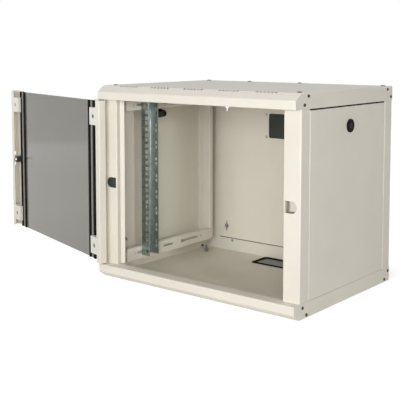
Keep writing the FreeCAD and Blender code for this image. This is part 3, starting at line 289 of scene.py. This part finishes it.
# White nylon, moulded: satin, slightly milky.
PALE_NYLON = Finish("pale_nylon_moulded", light="e6e3da", dark="dedbd1", roughness=0.4, mottle_mm=8.0,
                    grain_mm=0.8, relief_mm=0.02, grain=Grain.SPARK)
# Black EPDM rubber, extruded: matt, with lines along the run.
RUBBER = Finish("black_epdm_extruded", light="191a18", dark="131412", roughness=0.85, mottle_mm=12.0,
                grain_mm=0.9, relief_mm=0.03, stretch=(1.0, 1.0, 0.1), grain=Grain.ROLLED, specular=0.08)
# Grey EPDM filler in the gaskets' valleys, extruded: matt, lighter than the gasket.
GREY_RUBBER = Finish("grey_epdm_extruded", light="96938b", dark="89867e", roughness=0.7, mottle_mm=12.0,
                     grain_mm=0.9, relief_mm=0.02, stretch=(1.0, 1.0, 0.1), grain=Grain.ROLLED, specular=0.2)
# Screen-printed enamel ink of the unit marks: thin, dark and matt.
MARK_INK = Finish("dark_ink_screen_printed", light="3a3f3d", dark="323634", roughness=0.6, mottle_mm=4.0,
                  grain_mm=0.5, relief_mm=0.005)
# Grey-brown joint sealant, gunned and tooled: matt and slightly uneven.
SEALANT = Finish("grey_sealant_tooled", light="8c857a", dark="7d766c", roughness=0.6, mottle_mm=10.0,
                 grain_mm=1.5, relief_mm=0.05)
# Grey float glass, polished: see-through, with faint draw lines.
GLASS = TintedGlass("grey_tinted_float_glass", tint="76736b", streak="716e66", roughness=0.03, streak_mm=60.0)


# Mesh helpers


def neighbours(ring: Sequence[Any]) -> list[tuple[Any, Any]]:
    """Pair each item of a closed ring with the next one."""
    return list(zip(ring, [*ring[1:], ring[0]]))


def turn(mesh: bmesh.types.BMesh, profile: Sequence[tuple[float, float]], place: Matrix,
         sides: int, close: bool = False) -> list[bmesh.types.BMVert]:
    """Turn a profile about its Z axis.

    Args:
        mesh: Mesh that takes the turned faces.
        profile: (radius, height) points in millimetres, from the foot upward.
        place: Where the axis stands, in millimetres.
        sides: Number of sides round the axis.
        close: Whether the last point joins the first, as for a ring.

    Returns:
        The vertices of the last ring.
    """
    rings: list[list[bmesh.types.BMVert]] = []
    for radius, height in profile:
        count = sides if radius > 0 else 1
        angles = [2 * math.pi * i / sides for i in range(count)]
        points = [Vector((radius * math.cos(a), radius * math.sin(a), height)) for a in angles]
        rings.append([mesh.verts.new(place @ point * MM) for point in points])
    pairs = neighbours(rings) if close else zip(rings, rings[1:])
    for low, high in pairs:
        for i, j in neighbours(range(sides)):
            corners = [low[i % len(low)], low[j % len(low)], high[j % len(high)], high[i % len(high)]]
            mesh.faces.new(list(dict.fromkeys(corners)))
    return rings[-1]


def block(mesh: bmesh.types.BMesh, corner: Sequence[float], opposite: Sequence[float]) -> None:
    """Add a plain block.

    Args:
        mesh: Mesh that takes the block.
        corner: One of its corners, in millimetres.
        opposite: The corner across from it.
    """
    made = bmesh.ops.create_cube(mesh, size=1.0)["verts"]
    middle = (Vector(corner) + Vector(opposite)) / 2
    size = [abs(length) for length in Vector(opposite) - Vector(corner)]
    for vert in made:
        vert.co = Vector([m + c * s for m, c, s in zip(middle, vert.co, size)]) * MM


def facing(place: Sequence[float], axis: Sequence[float]) -> Matrix:
    """Placement in millimetres whose +Z points along an axis.

    Args:
        place: Where the origin goes.
        axis: Direction of +Z.

    Returns:
        The placement.
    """
    turned = Vector(axis).normalized().to_track_quat("Z", "Y").to_matrix().to_4x4()
    return Matrix.Translation(Vector(place)) @ turned


def mirrored(seats: Iterable[Seat], flips: Sequence[tuple[int, int]]) -> tuple[Matrix, ...]:
    """Repeat placements of the right lower quarter on the left and at the top.

    Args:
        seats: (point, axis) pairs in millimetres.
        flips: Signs of X and of Z for each copy.

    Returns:
        All the placements.
    """
    copies = []
    for side, end in flips:
        for (x, y, z), (i, j, k) in seats:
            height = z if end > 0 else 2 * HALF_HEIGHT - z
            copies.append(facing((side * x, y, height), (side * i, j, end * k)))
    return tuple(copies)


def swung(places: Iterable[Matrix]) -> tuple[Matrix, ...]:
    """Open the door: turn placements on the shut door to where it stands.

    Args:
        places: Placements on the shut door.

    Returns:
        The same placements on the open door.
    """
    swing = Matrix.Rotation(DOOR_SWING, 4, "Z")
    move = Matrix.Translation(HINGE_AXIS) @ swing @ Matrix.Translation(-HINGE_AXIS)
    return tuple(move @ place for place in places)


def add_object(name: str, data: bpy.types.ID) -> bpy.types.Object:
    """Put a mesh, a lamp or a camera into the scene.

    Args:
        name: Name of the object.
        data: What the object holds.

    Returns:
        The new object.
    """
    thing = bpy.data.objects.new(name, data)
    bpy.context.scene.collection.objects.link(thing)
    return thing


def add_mesh(name: str, mesh: bmesh.types.BMesh, surface: Surface) -> bpy.types.Object:
    """Put a built mesh into the scene.

    Args:
        name: Name of the object.
        mesh: Its geometry, freed here.
        surface: Its material.

    Returns:
        The new object.
    """
    data = bpy.data.meshes.new(name)
    mesh.to_mesh(data)
    mesh.free()
    data.materials.append(surface.material())
    return add_object(name, data)


def make_piece(name: str, mesh: bmesh.types.BMesh, body: str, surface: Surface,
               replaces: Iterable[str] = ()) -> None:
    """Turn a mesh into a finished piece that rides on a body.

    Args:
        name: Name of the piece.
        mesh: Its geometry, freed here.
        body: Body that it moves with.
        surface: Its material.
        replaces: Nodes that it stands for.
    """
    bmesh.ops.recalc_face_normals(mesh, faces=mesh.faces)
    piece = add_mesh(name, mesh, surface)
    piece.data.polygons.foreach_set("use_smooth", [True] * len(piece.data.polygons))
    piece.data.set_sharp_from_angle(angle=math.radians(SMOOTH_ANGLE))
    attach(piece, body)
    nodes = tuple(replaces)
    if nodes:
        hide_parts(*nodes)
    LOG.info("piece %s on %s", name, body)


# Screws and lock housings


@dataclass(frozen=True)
class Screw:
    """Pan-head screw with a cross recess, in millimetres and in shares of its head or crown."""

    head_radius: float
    head: float
    shank_radius: float
    shank: float
    rim_share: float = 0.35
    shoulder_share: tuple[float, float] = (0.88, 0.78)
    crown_share: float = 0.62
    arm_share: float = 0.82
    arm_half_share: float = 0.2
    recess_share: float = 0.5
    floor_share: float = 0.8

    def cut(self, mesh: bmesh.types.BMesh, place: Matrix) -> None:
        """Add this screw to a mesh.

        Args:
            mesh: Mesh that takes the screw.
            place: Where its head seats, with +Z out of the sheet.
        """
        crown = self.head_radius * self.crown_share
        wide, high = self.shoulder_share
        profile = [(0.0, -self.shank), (self.shank_radius, -self.shank), (self.shank_radius, 0.0),
                   (self.head_radius, 0.0), (self.head_radius, self.head * self.rim_share),
                   (self.head_radius * wide, self.head * high), (crown, self.head)]
        rim = turn(mesh, profile, place, ROUND_SIDES)
        arm = crown * self.arm_share
        half = crown * self.arm_half_share
        corner = [(arm, -half), (arm, half), (half, half)]
        cross: list[Vector] = []
        for quarter in range(4):
            spin = Matrix.Rotation(quarter * math.pi / 2, 2)
            cross += [spin @ Vector(point) for point in corner]
        sunk = self.head * (1 - self.recess_share)
        inner = self.floor_share
        top = [mesh.verts.new(place @ Vector((p.x, p.y, self.head)) * MM) for p in cross]
        floor = [mesh.verts.new(place @ Vector((p.x * inner, p.y * inner, sunk)) * MM) for p in cross]
        edges = [mesh.edges.new(pair) for pair in neighbours(top)]
        around = [mesh.edges.get(pair) for pair in neighbours(rim)]
        bmesh.ops.triangle_fill(mesh, use_beauty=True, edges=edges + around)
        for (a, b), (d, c) in zip(neighbours(top), neighbours(floor)):
            mesh.faces.new((a, b, c, d))
        mesh.faces.new(floor)


@dataclass(frozen=True)
class ScrewSet:
    """Like screws of one node, drawn round and recessed where the solids are plain."""

    node: str
    body: str
    slot: str
    finish: Finish
    screw: Screw
    places: tuple[Matrix, ...]

    def build(self) -> None:
        """Drive every screw, each left at its own angle."""
        mesh = bmesh.new()
        for index, place in enumerate(self.places):
            self.screw.cut(mesh, place @ Matrix.Rotation(index * SCREW_TURN, 4, "Z"))
        make_piece(self.node + "_recessed", mesh, self.body, self.finish, (self.node,))


@dataclass(frozen=True)
class LockHousing:
    """Lock housing turned round, with a stepped rim and the plug's bore, in millimetres."""

    node: str
    body: str
    finish: Finish
    barrel: float = 20.5
    barrel_radius: float = 9.2
    chamfer: float = 0.4
    bore: float = 6.05
    mouth: float = 3.8
    flange: float = 16.0
    # Steps of the rim in radius and height, from its outer edge to the bore.
    rim: Pairs = ((16.0, 2.2), (15.4, 3.2), (14.2, 3.8), (12.6, 4.0), (9.4, 4.0), (8.9, 3.5), (7.6, 3.5),
                  (7.1, 4.0))

    def build(self, place: Matrix) -> None:
        """Turn the housing.

        Args:
            place: Middle of its flange's seat, +Z outward, in millimetres.
        """
        foot = -self.barrel
        radius = self.barrel_radius
        profile = [(self.bore, foot), (radius - self.chamfer, foot), (radius, foot + self.chamfer),
                   (radius, 0.0), (self.flange, 0.0), *self.rim, (self.bore, self.mouth)]
        mesh = bmesh.new()
        turn(mesh, profile, place, HOUSING_SIDES, close=True)
        make_piece(self.node + "_turned", mesh, self.body, self.finish, (self.node,))


# Sub-assemblies


@dataclass
class SubAssembly:
    """Group of nodes that share finishes; subclasses add their own pieces."""

    body: str
    nodes: dict[str, bpy.types.Object]
    coats: dict[str, Surface] = field(default_factory=dict)
    weld_mm: float = 0.01
    edge_mm: float = 0.5
    edge_steps: int = 2
    edge_angle: float = 50.0

    def dress(self) -> None:
        """Give each node its finish and softened edges."""
        for name, finish in self.coats.items():
            node = self.nodes[name]
            node.data.materials.clear()
            node.data.materials.append(finish.material())
            self.soften(node)
            LOG.info("node %s in %s", name, finish.name)

    def soften(self, node: bpy.types.Object) -> None:
        """Round a node's sharp edges by a fraction of a millimetre.

        Args:
            node: Mesh object of the node.
        """
        weld = node.modifiers.new("weld", "WELD")
        weld.merge_threshold = self.weld_mm * MM
        edge = node.modifiers.new("edge", "BEVEL")
        edge.width = self.edge_mm * MM
        edge.segments = self.edge_steps
        edge.limit_method = "ANGLE"
        edge.angle_limit = math.radians(self.edge_angle)

    def build(self) -> None:
        """Add the pieces that the solids leave plain."""


@dataclass
class Carcass(SubAssembly):
    """Trays, posts and the small parts on them."""

    # Y and Z of the corner screws, X and Y of the roof plugs, and the plugs' outline in radius and height.
    corners: Pairs = ((-190.5, 26.5), (-174.5, 7.5), (216.5, 26.5), (197.5, 7.5))
    corner_screw: Screw = Screw(head_radius=3.8, head=2.2, shank_radius=2.5, shank=8.0)
    plugs: Pairs = ((-280.0, -179.0), (280.0, -179.0), (-280.0, 211.0), (280.0, 211.0), (-135.0, 211.0),
                    (32.0, 211.0))
    plug_profile: Pairs = ((0.0, -3.6), (4.0, -3.6), (4.0, 0.0), (6.0, 0.0), (5.9, 0.7), (5.4, 1.3),
                           (4.3, 1.7), (2.6, 1.95), (0.0, 2.0))
    # Screws in the rear panel's brim, up its sides and along its ends, and in the entry's cover.
    panel_screw: Screw = Screw(head_radius=3.8, head=2.2, shank_radius=2.5, shank=2.4)
    brim_x: float = 282.0
    brim_y: float = 222.6
    brim_heights: tuple[float, ...] = (100.0, 250.0, 400.0)
    end_x: float = 202.0
    end_height: float = 31.0
    cover_x: float = 80.0
    cover_y: float = 219.0
    cover_heights: tuple[float, ...] = (346.0, 409.0)
    # Sealant beads: half their length, then their reach in Y and in Z.
    bead_half: float = 249.0
    bead_y: tuple[float, float] = (223.0, 223.75)
    bead_z: tuple[float, float] = (36.3, 39.7)

    def __post_init__(self) -> None:
        """List the finishes of the standing frame."""
        painted = ["base_tray", "roof_tray", "front_post_right", "front_post_left", "rear_post_right",
                   "rear_post_left", "rear_panel"]
        self.coats = {name: POWDER_COAT for name in painted}
        self.coats.update({"floor_entry_trim": RUBBER, "strike_plate": NICKEL,
                           "strike_hole_plug": BLACK_ABS, "rear_entry_cover": BLACK_STEEL,
                           "panel_keeper_right": ZINC, "panel_keeper_left": ZINC,
                           "earth_bolt": ZINC, "earth_nuts": ZINC})

    def build(self) -> None:
        """Domed roof plugs, the carcass screws and the sealant."""
        mesh = bmesh.new()
        for x, y in self.plugs:
            turn(mesh, self.plug_profile, Matrix.Translation((x, y, 2 * HALF_HEIGHT)), ROUND_SIDES)
        make_piece("roof_plugs_domed", mesh, self.body, BLACK_ABS, ("roof_plugs",))
        corners = [((HALF_WIDTH, y, z), RIGHT) for y, z in self.corners]
        brim = [((self.brim_x, self.brim_y, z), FRONT) for z in self.brim_heights]
        ends = [((self.end_x, self.brim_y, self.end_height), FRONT)]
        cover = [((self.cover_x, self.cover_y, z), FRONT) for z in self.cover_heights]
        sets = (
            ScrewSet("corner_screws", self.body, "black_steel", BLACK_STEEL, self.corner_screw,
                     mirrored(corners, EVERYWHERE)),
            ScrewSet("rear_panel_screws", self.body, "zinc_steel", ZINC, self.panel_screw,
                     mirrored(brim, BOTH_SIDES) + mirrored(ends, EVERYWHERE)),
            ScrewSet("rear_cover_screws", self.body, "zinc_steel", ZINC, self.panel_screw,
                     mirrored(cover, BOTH_SIDES)),
        )
        for screws in sets:
            screws.build()
        self.seal_joints()

    def seal_joints(self) -> None:
        """Sealant beads between the rear panel's brim and the trays' rear walls."""
        mesh = bmesh.new()
        x = self.bead_half
        front, rear = self.bead_y
        low, high = self.bead_z
        for z in (low, 2 * HALF_HEIGHT - high):
            block(mesh, (-x, front, z), (x, rear, z + high - low))
        make_piece("rear_joint_sealant", mesh, self.body, SEALANT)


@dataclass
class RailFrame(SubAssembly):
    """Depth rails and 19-inch rails inside the carcass."""

    # Screws through the depth rails' end tabs.
    tab_screw: Screw = Screw(head_radius=6.0, head=3.5, shank_radius=3.0, shank=7.5)
    tab_x: float = 276.0
    front_tab: float = -165.0
    rear_tab: float = 184.3
    tab_height: float = 50.475
    # Screws that clamp the rack rails to the depth rails.
    clamp_screw: Screw = Screw(head_radius=6.0, head=3.5, shank_radius=3.0, shank=8.3)
    clamp: Point = (251.5, -94.0, 52.975)
    # Unit marks: where the units start, and half of each bar's length and thickness.
    units: int = 9
    unit: float = 44.45
    lowest: float = 49.975
    hole_rises: tuple[float, ...] = (6.35, 22.225, 38.1)
    mark_x: float = 243.5
    line: tuple[float, float] = (4.0, 0.6)
    tick: tuple[float, float] = (2.0, 0.45)
    face: float = -113.0
    ink: float = 0.08

    def __post_init__(self) -> None:
        """List the finishes of the rails."""
        for side in ("right", "left"):
            self.coats[f"depth_rail_lower_{side}"] = POWDER_COAT
            self.coats[f"depth_rail_upper_{side}"] = POWDER_COAT
            self.coats[f"rack_rail_{side}"] = ZINC
        self.coats.update({"rack_rail_nuts": ZINC, "depth_rail_nuts": ZINC})

    def build(self) -> None:
        """Rail screws, and the unit marks printed beside the square holes."""
        tabs = [((self.tab_x, self.front_tab, self.tab_height), REAR),
                ((self.tab_x, self.rear_tab, self.tab_height), FRONT)]
        ScrewSet("depth_rail_screws", self.body, "zinc_steel", ZINC, self.tab_screw,
                 mirrored(tabs, EVERYWHERE)).build()
        ScrewSet("rack_rail_screws", self.body, "zinc_steel", ZINC, self.clamp_screw,
                 mirrored([(self.clamp, LEFT)], EVERYWHERE)).build()
        self.print_marks()

    def print_marks(self) -> None:
        """Unit lines and hole ticks on the rails' front faces."""
        mesh = bmesh.new()
        for side in (-1, 1):
            for unit in range(self.units + 1):
                z = self.lowest + unit * self.unit
                self.mark(mesh, side, z, self.line)
                if unit == self.units:
                    continue
                for rise in self.hole_rises:
                    self.mark(mesh, side, z + rise, self.tick)
        make_piece("rack_unit_marks", mesh, self.body, MARK_INK)

    def mark(self, mesh: bmesh.types.BMesh, side: int, z: float, halves: tuple[float, float]) -> None:
        """Add one printed bar.

        Args:
            mesh: Mesh that takes the bar.
            side: One on the right, minus one on the left.
            z: Its height.
            halves: Half its length and half its thickness.
        """
        middle = side * self.mark_x
        half, tall = halves
        block(mesh, (middle - half, self.face - self.ink, z - tall), (middle + half, self.face, z + tall))


@dataclass
class SidePanel(SubAssembly):
    """One tilting side panel with its lock."""

    side: str = "right"
    lock_y: float = 9.65
    lock_height: float = 415.0
    # Dust seal along the top edge: its reach in X and in Z, and how far its ends stay back.
    seal_x: tuple[float, float] = (295.0, 298.7)
    seal_z: tuple[float, float] = (453.0, 463.6)
    seal_margin: float = 2.0

    def __post_init__(self) -> None:
        """List the finishes of the panel and its lock."""
        coats = {"side_panel": POWDER_COAT, "panel_stud": ZINC, "side_lock_nut": BLACK_STEEL,
                 "side_lock_cylinder": BLACK_NICKEL, "side_lock_cam": BLACK_STEEL}
        self.coats = {f"{name}_{self.side}": finish for name, finish in coats.items()}

    def build(self) -> None:
        """Round lock housing with its stepped rim, and the dust seal along the top edge."""
        sign = 1 if self.side == "right" else -1
        seat = facing((sign * HALF_WIDTH, self.lock_y, self.lock_height), (sign, 0, 0))
        LockHousing(f"side_lock_housing_{self.side}", self.body, LOCK_ABS).build(seat)
        inner, outer = self.seal_x
        low, high = self.seal_z
        front, rear = (corner[1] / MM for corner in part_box(f"side_panel_{self.side}"))
        mesh = bmesh.new()
        block(mesh, (sign * inner, front + self.seal_margin, low),
              (sign * outer, rear - self.seal_margin, high))
        make_piece(f"panel_seal_{self.side}", mesh, self.body, RUBBER)


@dataclass
class Door(SubAssembly):
    """Glass door with its stiles, hinges and lock, placed as on the shut door."""

    # Screws of the glass clamps, and the ring round each head as corners in radius and height.
    clamp: Point = (266.8, -208.0, 80.5)
    clamp_screw: Screw = Screw(head_radius=3.8, head=3.0, shank_radius=2.5, shank=14.8)
    ring: Pairs = ((3.95, 2.6), (5.35, 2.6), (5.35, 3.8), (3.95, 3.6))
    hinge_y: float = -214.0
    hinge_heights: tuple[float, float] = (47.0, 65.0)
    hinge_screw: Screw = Screw(head_radius=2.4, head=0.6, shank_radius=1.2, shank=4.5)
    # Filler strips in the gaskets: their reach in X, in Y and in Z.
    filler_x: tuple[float, float] = (231.0, 240.0)
    filler_y: tuple[float, float] = (-216.15, -215.2)
    filler_z: tuple[float, float] = (41.0, 459.0)
    lock: Point = (268.0, -224.0, 249.0)

    def __post_init__(self) -> None:
        """List the finishes of the door."""
        self.coats = {"door_stile_hinge": POWDER_COAT, "door_stile_lock": POWDER_COAT, "door_glass": GLASS,
                      "glass_gasket_lock": RUBBER, "glass_gasket_hinge": RUBBER, "glass_clamps": PALE_NYLON,
                      "hinge_block_lower": BLACK_ABS, "hinge_block_upper": BLACK_ABS,
                      "hinge_pin_lower": ZINC, "hinge_pin_upper": ZINC, "hinge_washers": BLACK_ABS,
                      "door_lock_nut": ZINC, "door_lock_cylinder": NICKEL, "door_lock_cam": ZINC,
                      "door_lock_key": NICKEL}

    def build(self) -> None:
        """Clamp and hinge screws, the clamps' rings, the gaskets' fillers and the round lock housing."""
        clamps = swung(mirrored([(self.clamp, REAR)], EVERYWHERE))
        hinges = [((-HALF_WIDTH, self.hinge_y, z), LEFT) for z in self.hinge_heights]
        ScrewSet("clamp_screws", self.body, "zinc_steel", ZINC, self.clamp_screw, clamps).build()
        ScrewSet("hinge_block_screws", self.body, "zinc_steel", POWDER_COAT, self.hinge_screw,
                 swung(mirrored(hinges, BOTH_ENDS))).build()
        self.add_rings(clamps)
        self.fill_gaskets()
        seat = swung([facing(self.lock, FRONT)])[0]
        LockHousing("door_lock_housing", self.body, BLACK_ABS).build(seat)

    def add_rings(self, places: Iterable[Matrix]) -> None:
        """Black rings round the clamp screws' heads, at the mouth of their bores.

        Args:
            places: Where the screws seat.
        """
        mesh = bmesh.new()
        for place in places:
            turn(mesh, self.ring, place, ROUND_SIDES, close=True)
        make_piece("clamp_washers", mesh, self.body, BLACK_ABS)

    def fill_gaskets(self) -> None:
        """Grey filler strips in the valleys between the gaskets' ribs."""
        near, far = zip(self.filler_x, self.filler_y, self.filler_z)
        mesh = bmesh.new()
        for sign in (-1, 1):
            block(mesh, (sign * near[0], *near[1:]), (sign * far[0], *far[1:]))
        swing = swung([Matrix.Identity(4)])[0]
        for vert in mesh.verts:
            vert.co = swing @ (vert.co / MM) * MM
        make_piece("gasket_filler_strips", mesh, self.body, GREY_RUBBER)


# Studio


# Reach of the cabinet's underside on the floor, in X and in Y.
UNDERSIDE: Area = ((-0.296, 0.296), (-0.198, 0.221))


def seen_directly(tree: bpy.types.NodeTree) -> bpy.types.NodeSocket:
    """One where a ray comes from the eye, a mirror or a pane, else zero.

    Args:
        tree: Node tree of the floor or the room.

    Returns:
        The socket to switch by.
    """
    path = add(tree, "LightPath")
    mirror = add(tree, "Math", {"operation": "MAXIMUM"}, i0=path.outputs["Is Camera Ray"],
                 i1=path.outputs["Is Glossy Ray"])
    pane = add(tree, "Math", {"operation": "MAXIMUM"}, i0=mirror.outputs[0],
               i1=path.outputs["Is Transmission Ray"])
    return pane.outputs[0]


@dataclass(frozen=True)
class Shade:
    """Patch of the floor whose glow is set lower by hand, with a soft edge round it."""

    # Its reach, the width of its edge in metres, and the share of the glow that is left inside.
    area: Area
    soft: float
    glow: float

    def clear(self, tree: bpy.types.NodeTree) -> bpy.types.NodeSocket:
        """What is left of the floor's glow: this patch's own inside it, rising to all of it outside.

        Args:
            tree: Node tree of the floor.

        Returns:
            The socket with the share.
        """
        place = add(tree, "SeparateXYZ", Vector=add(tree, "TexCoord").outputs["Object"])
        past = []
        for axis, (low, high) in zip("XY", self.area):
            off = add(tree, "Math", {"operation": "SUBTRACT"}, i0=place.outputs[axis], i1=(low + high) / 2)
            span = add(tree, "Math", {"operation": "ABSOLUTE"}, i0=off.outputs[0])
            over = add(tree, "Math", {"operation": "SUBTRACT"}, i0=span.outputs[0], i1=(high - low) / 2)
            past.append(add(tree, "Math", {"operation": "MAXIMUM"}, i0=over.outputs[0], i1=0.0))
        gap = add(tree, "CombineXYZ", X=past[0].outputs[0], Y=past[1].outputs[0])
        away = add(tree, "VectorMath", {"operation": "LENGTH"}, i0=gap.outputs[0])
        rise = add(tree, "MapRange", {"interpolation_type": "SMOOTHSTEP"}, Value=away.outputs["Value"],
                   From_Max=self.soft)
        share = add(tree, "MapRange", Value=rise.outputs["Result"], To_Min=self.glow)
        return share.outputs["Result"]


@dataclass(frozen=True)
class WhiteFloor(Surface):
    """Matt white floor that glows where it is seen, yet keeps a soft shadow."""

    paint: str = "e8e7e4"
    veil: str = "a0a0a0"
    # Wide fall towards the cabinet, none under it, less behind and beside it, little in its lee.
    shades: tuple[Shade, ...] = (
        Shade(UNDERSIDE, soft=1.0, glow=0.86),
        Shade(UNDERSIDE, soft=0.002, glow=0.0),
        Shade(((-0.28, 0.2), (0.15, 0.25)), soft=0.12, glow=0.45),
        Shade(((-0.33, -0.28), (-0.04, 0.2)), soft=0.06, glow=0.5),
        Shade(((-0.44, -0.12), (0.12, 0.5)), soft=0.2, glow=0.04),
    )

    def shader(self, tree: bpy.types.NodeTree) -> bpy.types.NodeSocket:
        """White paint as light, and a glow under a shadow-catching veil to the eye.

        Args:
            tree: Node tree of the material.

        Returns:
            The socket of the shader.
        """
        level = self.shades[0].clear(tree)
        for shade in self.shades[1:]:
            level = add(tree, "Math", {"operation": "MULTIPLY"}, i0=level, i1=shade.clear(tree)).outputs[0]
        paint = add(tree, "BsdfDiffuse", Color=linear(self.paint))
        veil = add(tree, "BsdfDiffuse", Color=linear(self.veil))
        glow = add(tree, "Emission", Strength=level)
        shown = add(tree, "AddShader", i0=veil.outputs[0], i1=glow.outputs[0])
        mix = add(tree, "MixShader", Fac=seen_directly(tree), i1=paint.outputs[0], i2=shown.outputs[0])
        return mix.outputs[0]


@dataclass(frozen=True)
class Softbox:
    """Rectangular lamp aimed at a point."""

    name: str
    place: Point
    wide: float
    tall: float
    watts: float
    aim: Point = (0.0, 0.0, 0.25)

    def hang(self) -> None:
        """Add the lamp to the scene."""
        lamp = bpy.data.lights.new(self.name, "AREA")
        lamp.shape = "RECTANGLE"
        lamp.size = self.wide
        lamp.size_y = self.tall
        lamp.energy = self.watts
        holder = add_object(self.name, lamp)
        holder.location = self.place
        holder.rotation_euler = (Vector(self.aim) - Vector(self.place)).to_track_quat("-Z", "Y").to_euler()


@dataclass
class Studio:
    """White room: pale floor, soft lamps and the camera."""

    # Camera: its bearing and rise in degrees, its place, and the photograph's framing in pixels.
    azimuth: float = 39.06
    elevation: float = 4.95
    place: Point = (1.278, -1.7525, 0.600)
    focal_px: float = 852.0
    centre_px: float = 120.0
    image_px: float = 400.0
    sensor_mm: float = 36.0
    sight: float = 50.0
    # Floor: half its side, and how far it lies under the cabinet.
    floor: WhiteFloor = WhiteFloor("white_floor_matt")
    floor_half: float = 8.0
    floor_drop: float = 0.0006
    # Strength of the room as light, where one is white.
    room: str = "ffffff"
    ambient: float = 0.04
    lamps: tuple[Softbox, ...] = (
        Softbox("front_softbox", (0.2, -4.2, 0.7), wide=2.6, tall=1.8, watts=76.0),
        Softbox("camera_softbox", (2.0, -3.4, 0.9), wide=1.2, tall=1.2, watts=32.0),
        Softbox("high_softbox", (1.9, -2.9, 2.0), wide=1.2, tall=1.2, watts=16.0),
        Softbox("right_spot", (3.0, -1.6, 0.75), wide=0.4, tall=0.4, watts=25.0),
        Softbox("top_softbox", (0.0, -0.6, 3.2), wide=2.4, tall=2.0, watts=22.0),
        Softbox("left_softbox", (-3.4, -0.6, 1.0), wide=1.6, tall=1.2, watts=22.0),
        Softbox("rear_softbox", (-0.4, 3.9, 0.5), wide=2.0, tall=0.8, watts=42.0),
    )

    def build(self) -> None:
        """Put up the floor, the lamps, the surroundings and the camera."""
        bpy.context.scene.view_settings.view_transform = "Standard"
        self.lay_floor()
        self.light_room()
        for lamp in self.lamps:
            lamp.hang()
        self.set_camera()

    def lay_floor(self) -> None:
        """White floor just under the cabinet."""
        mesh = bmesh.new()
        bmesh.ops.create_grid(mesh, x_segments=1, y_segments=1, size=self.floor_half)
        floor = add_mesh("floor", mesh, self.floor)
        floor.location.z = -self.floor_drop

    def light_room(self) -> None:
        """Surroundings that are white to the eye and softer as light."""
        world = bpy.data.worlds.new("white_room")
        bpy.context.scene.world = world
        world.use_nodes = True
        tree = world.node_tree
        tree.nodes.clear()
        level = add(tree, "MapRange", Value=seen_directly(tree), To_Min=self.ambient, To_Max=1.0)
        glow = add(tree, "Background", Color=linear(self.room), Strength=level.outputs["Result"])
        add(tree, "OutputWorld", Surface=glow.outputs[0])

    def set_camera(self) -> None:
        """Camera at the photograph's place, with the shift that its framing needs."""
        data = bpy.data.cameras.new("camera")
        data.sensor_width = self.sensor_mm
        data.lens = self.focal_px / self.image_px * self.sensor_mm
        data.shift_y = (self.centre_px - self.image_px / 2) / self.image_px
        data.clip_end = self.sight
        bearing = math.radians(self.azimuth)
        rise = math.radians(self.elevation)
        level = math.cos(rise)
        back = Vector((math.sin(bearing) * level, -math.cos(bearing) * level, math.sin(rise)))
        camera = add_object("camera", data)
        camera.location = self.place
        camera.rotation_euler = (-back).to_track_quat("-Z", "Y").to_euler()
        bpy.context.scene.camera = camera


def main() -> None:
    """Load the solids, dress and detail each sub-assembly, and set the studio."""
    logging.basicConfig(level=logging.INFO, format="%(name)s: %(message)s")
    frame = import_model()
    nodes = frame["nodes"]
    parts: list[SubAssembly] = [
        Carcass("cabinet", nodes),
        RailFrame("cabinet", nodes),
        SidePanel("side_panel_right", nodes, side="right"),
        SidePanel("side_panel_left", nodes, side="left"),
        Door("door", nodes),
    ]
    for part in parts:
        part.dress()
        part.build()
    Studio().build()


if __name__ == "__main__":
    main()
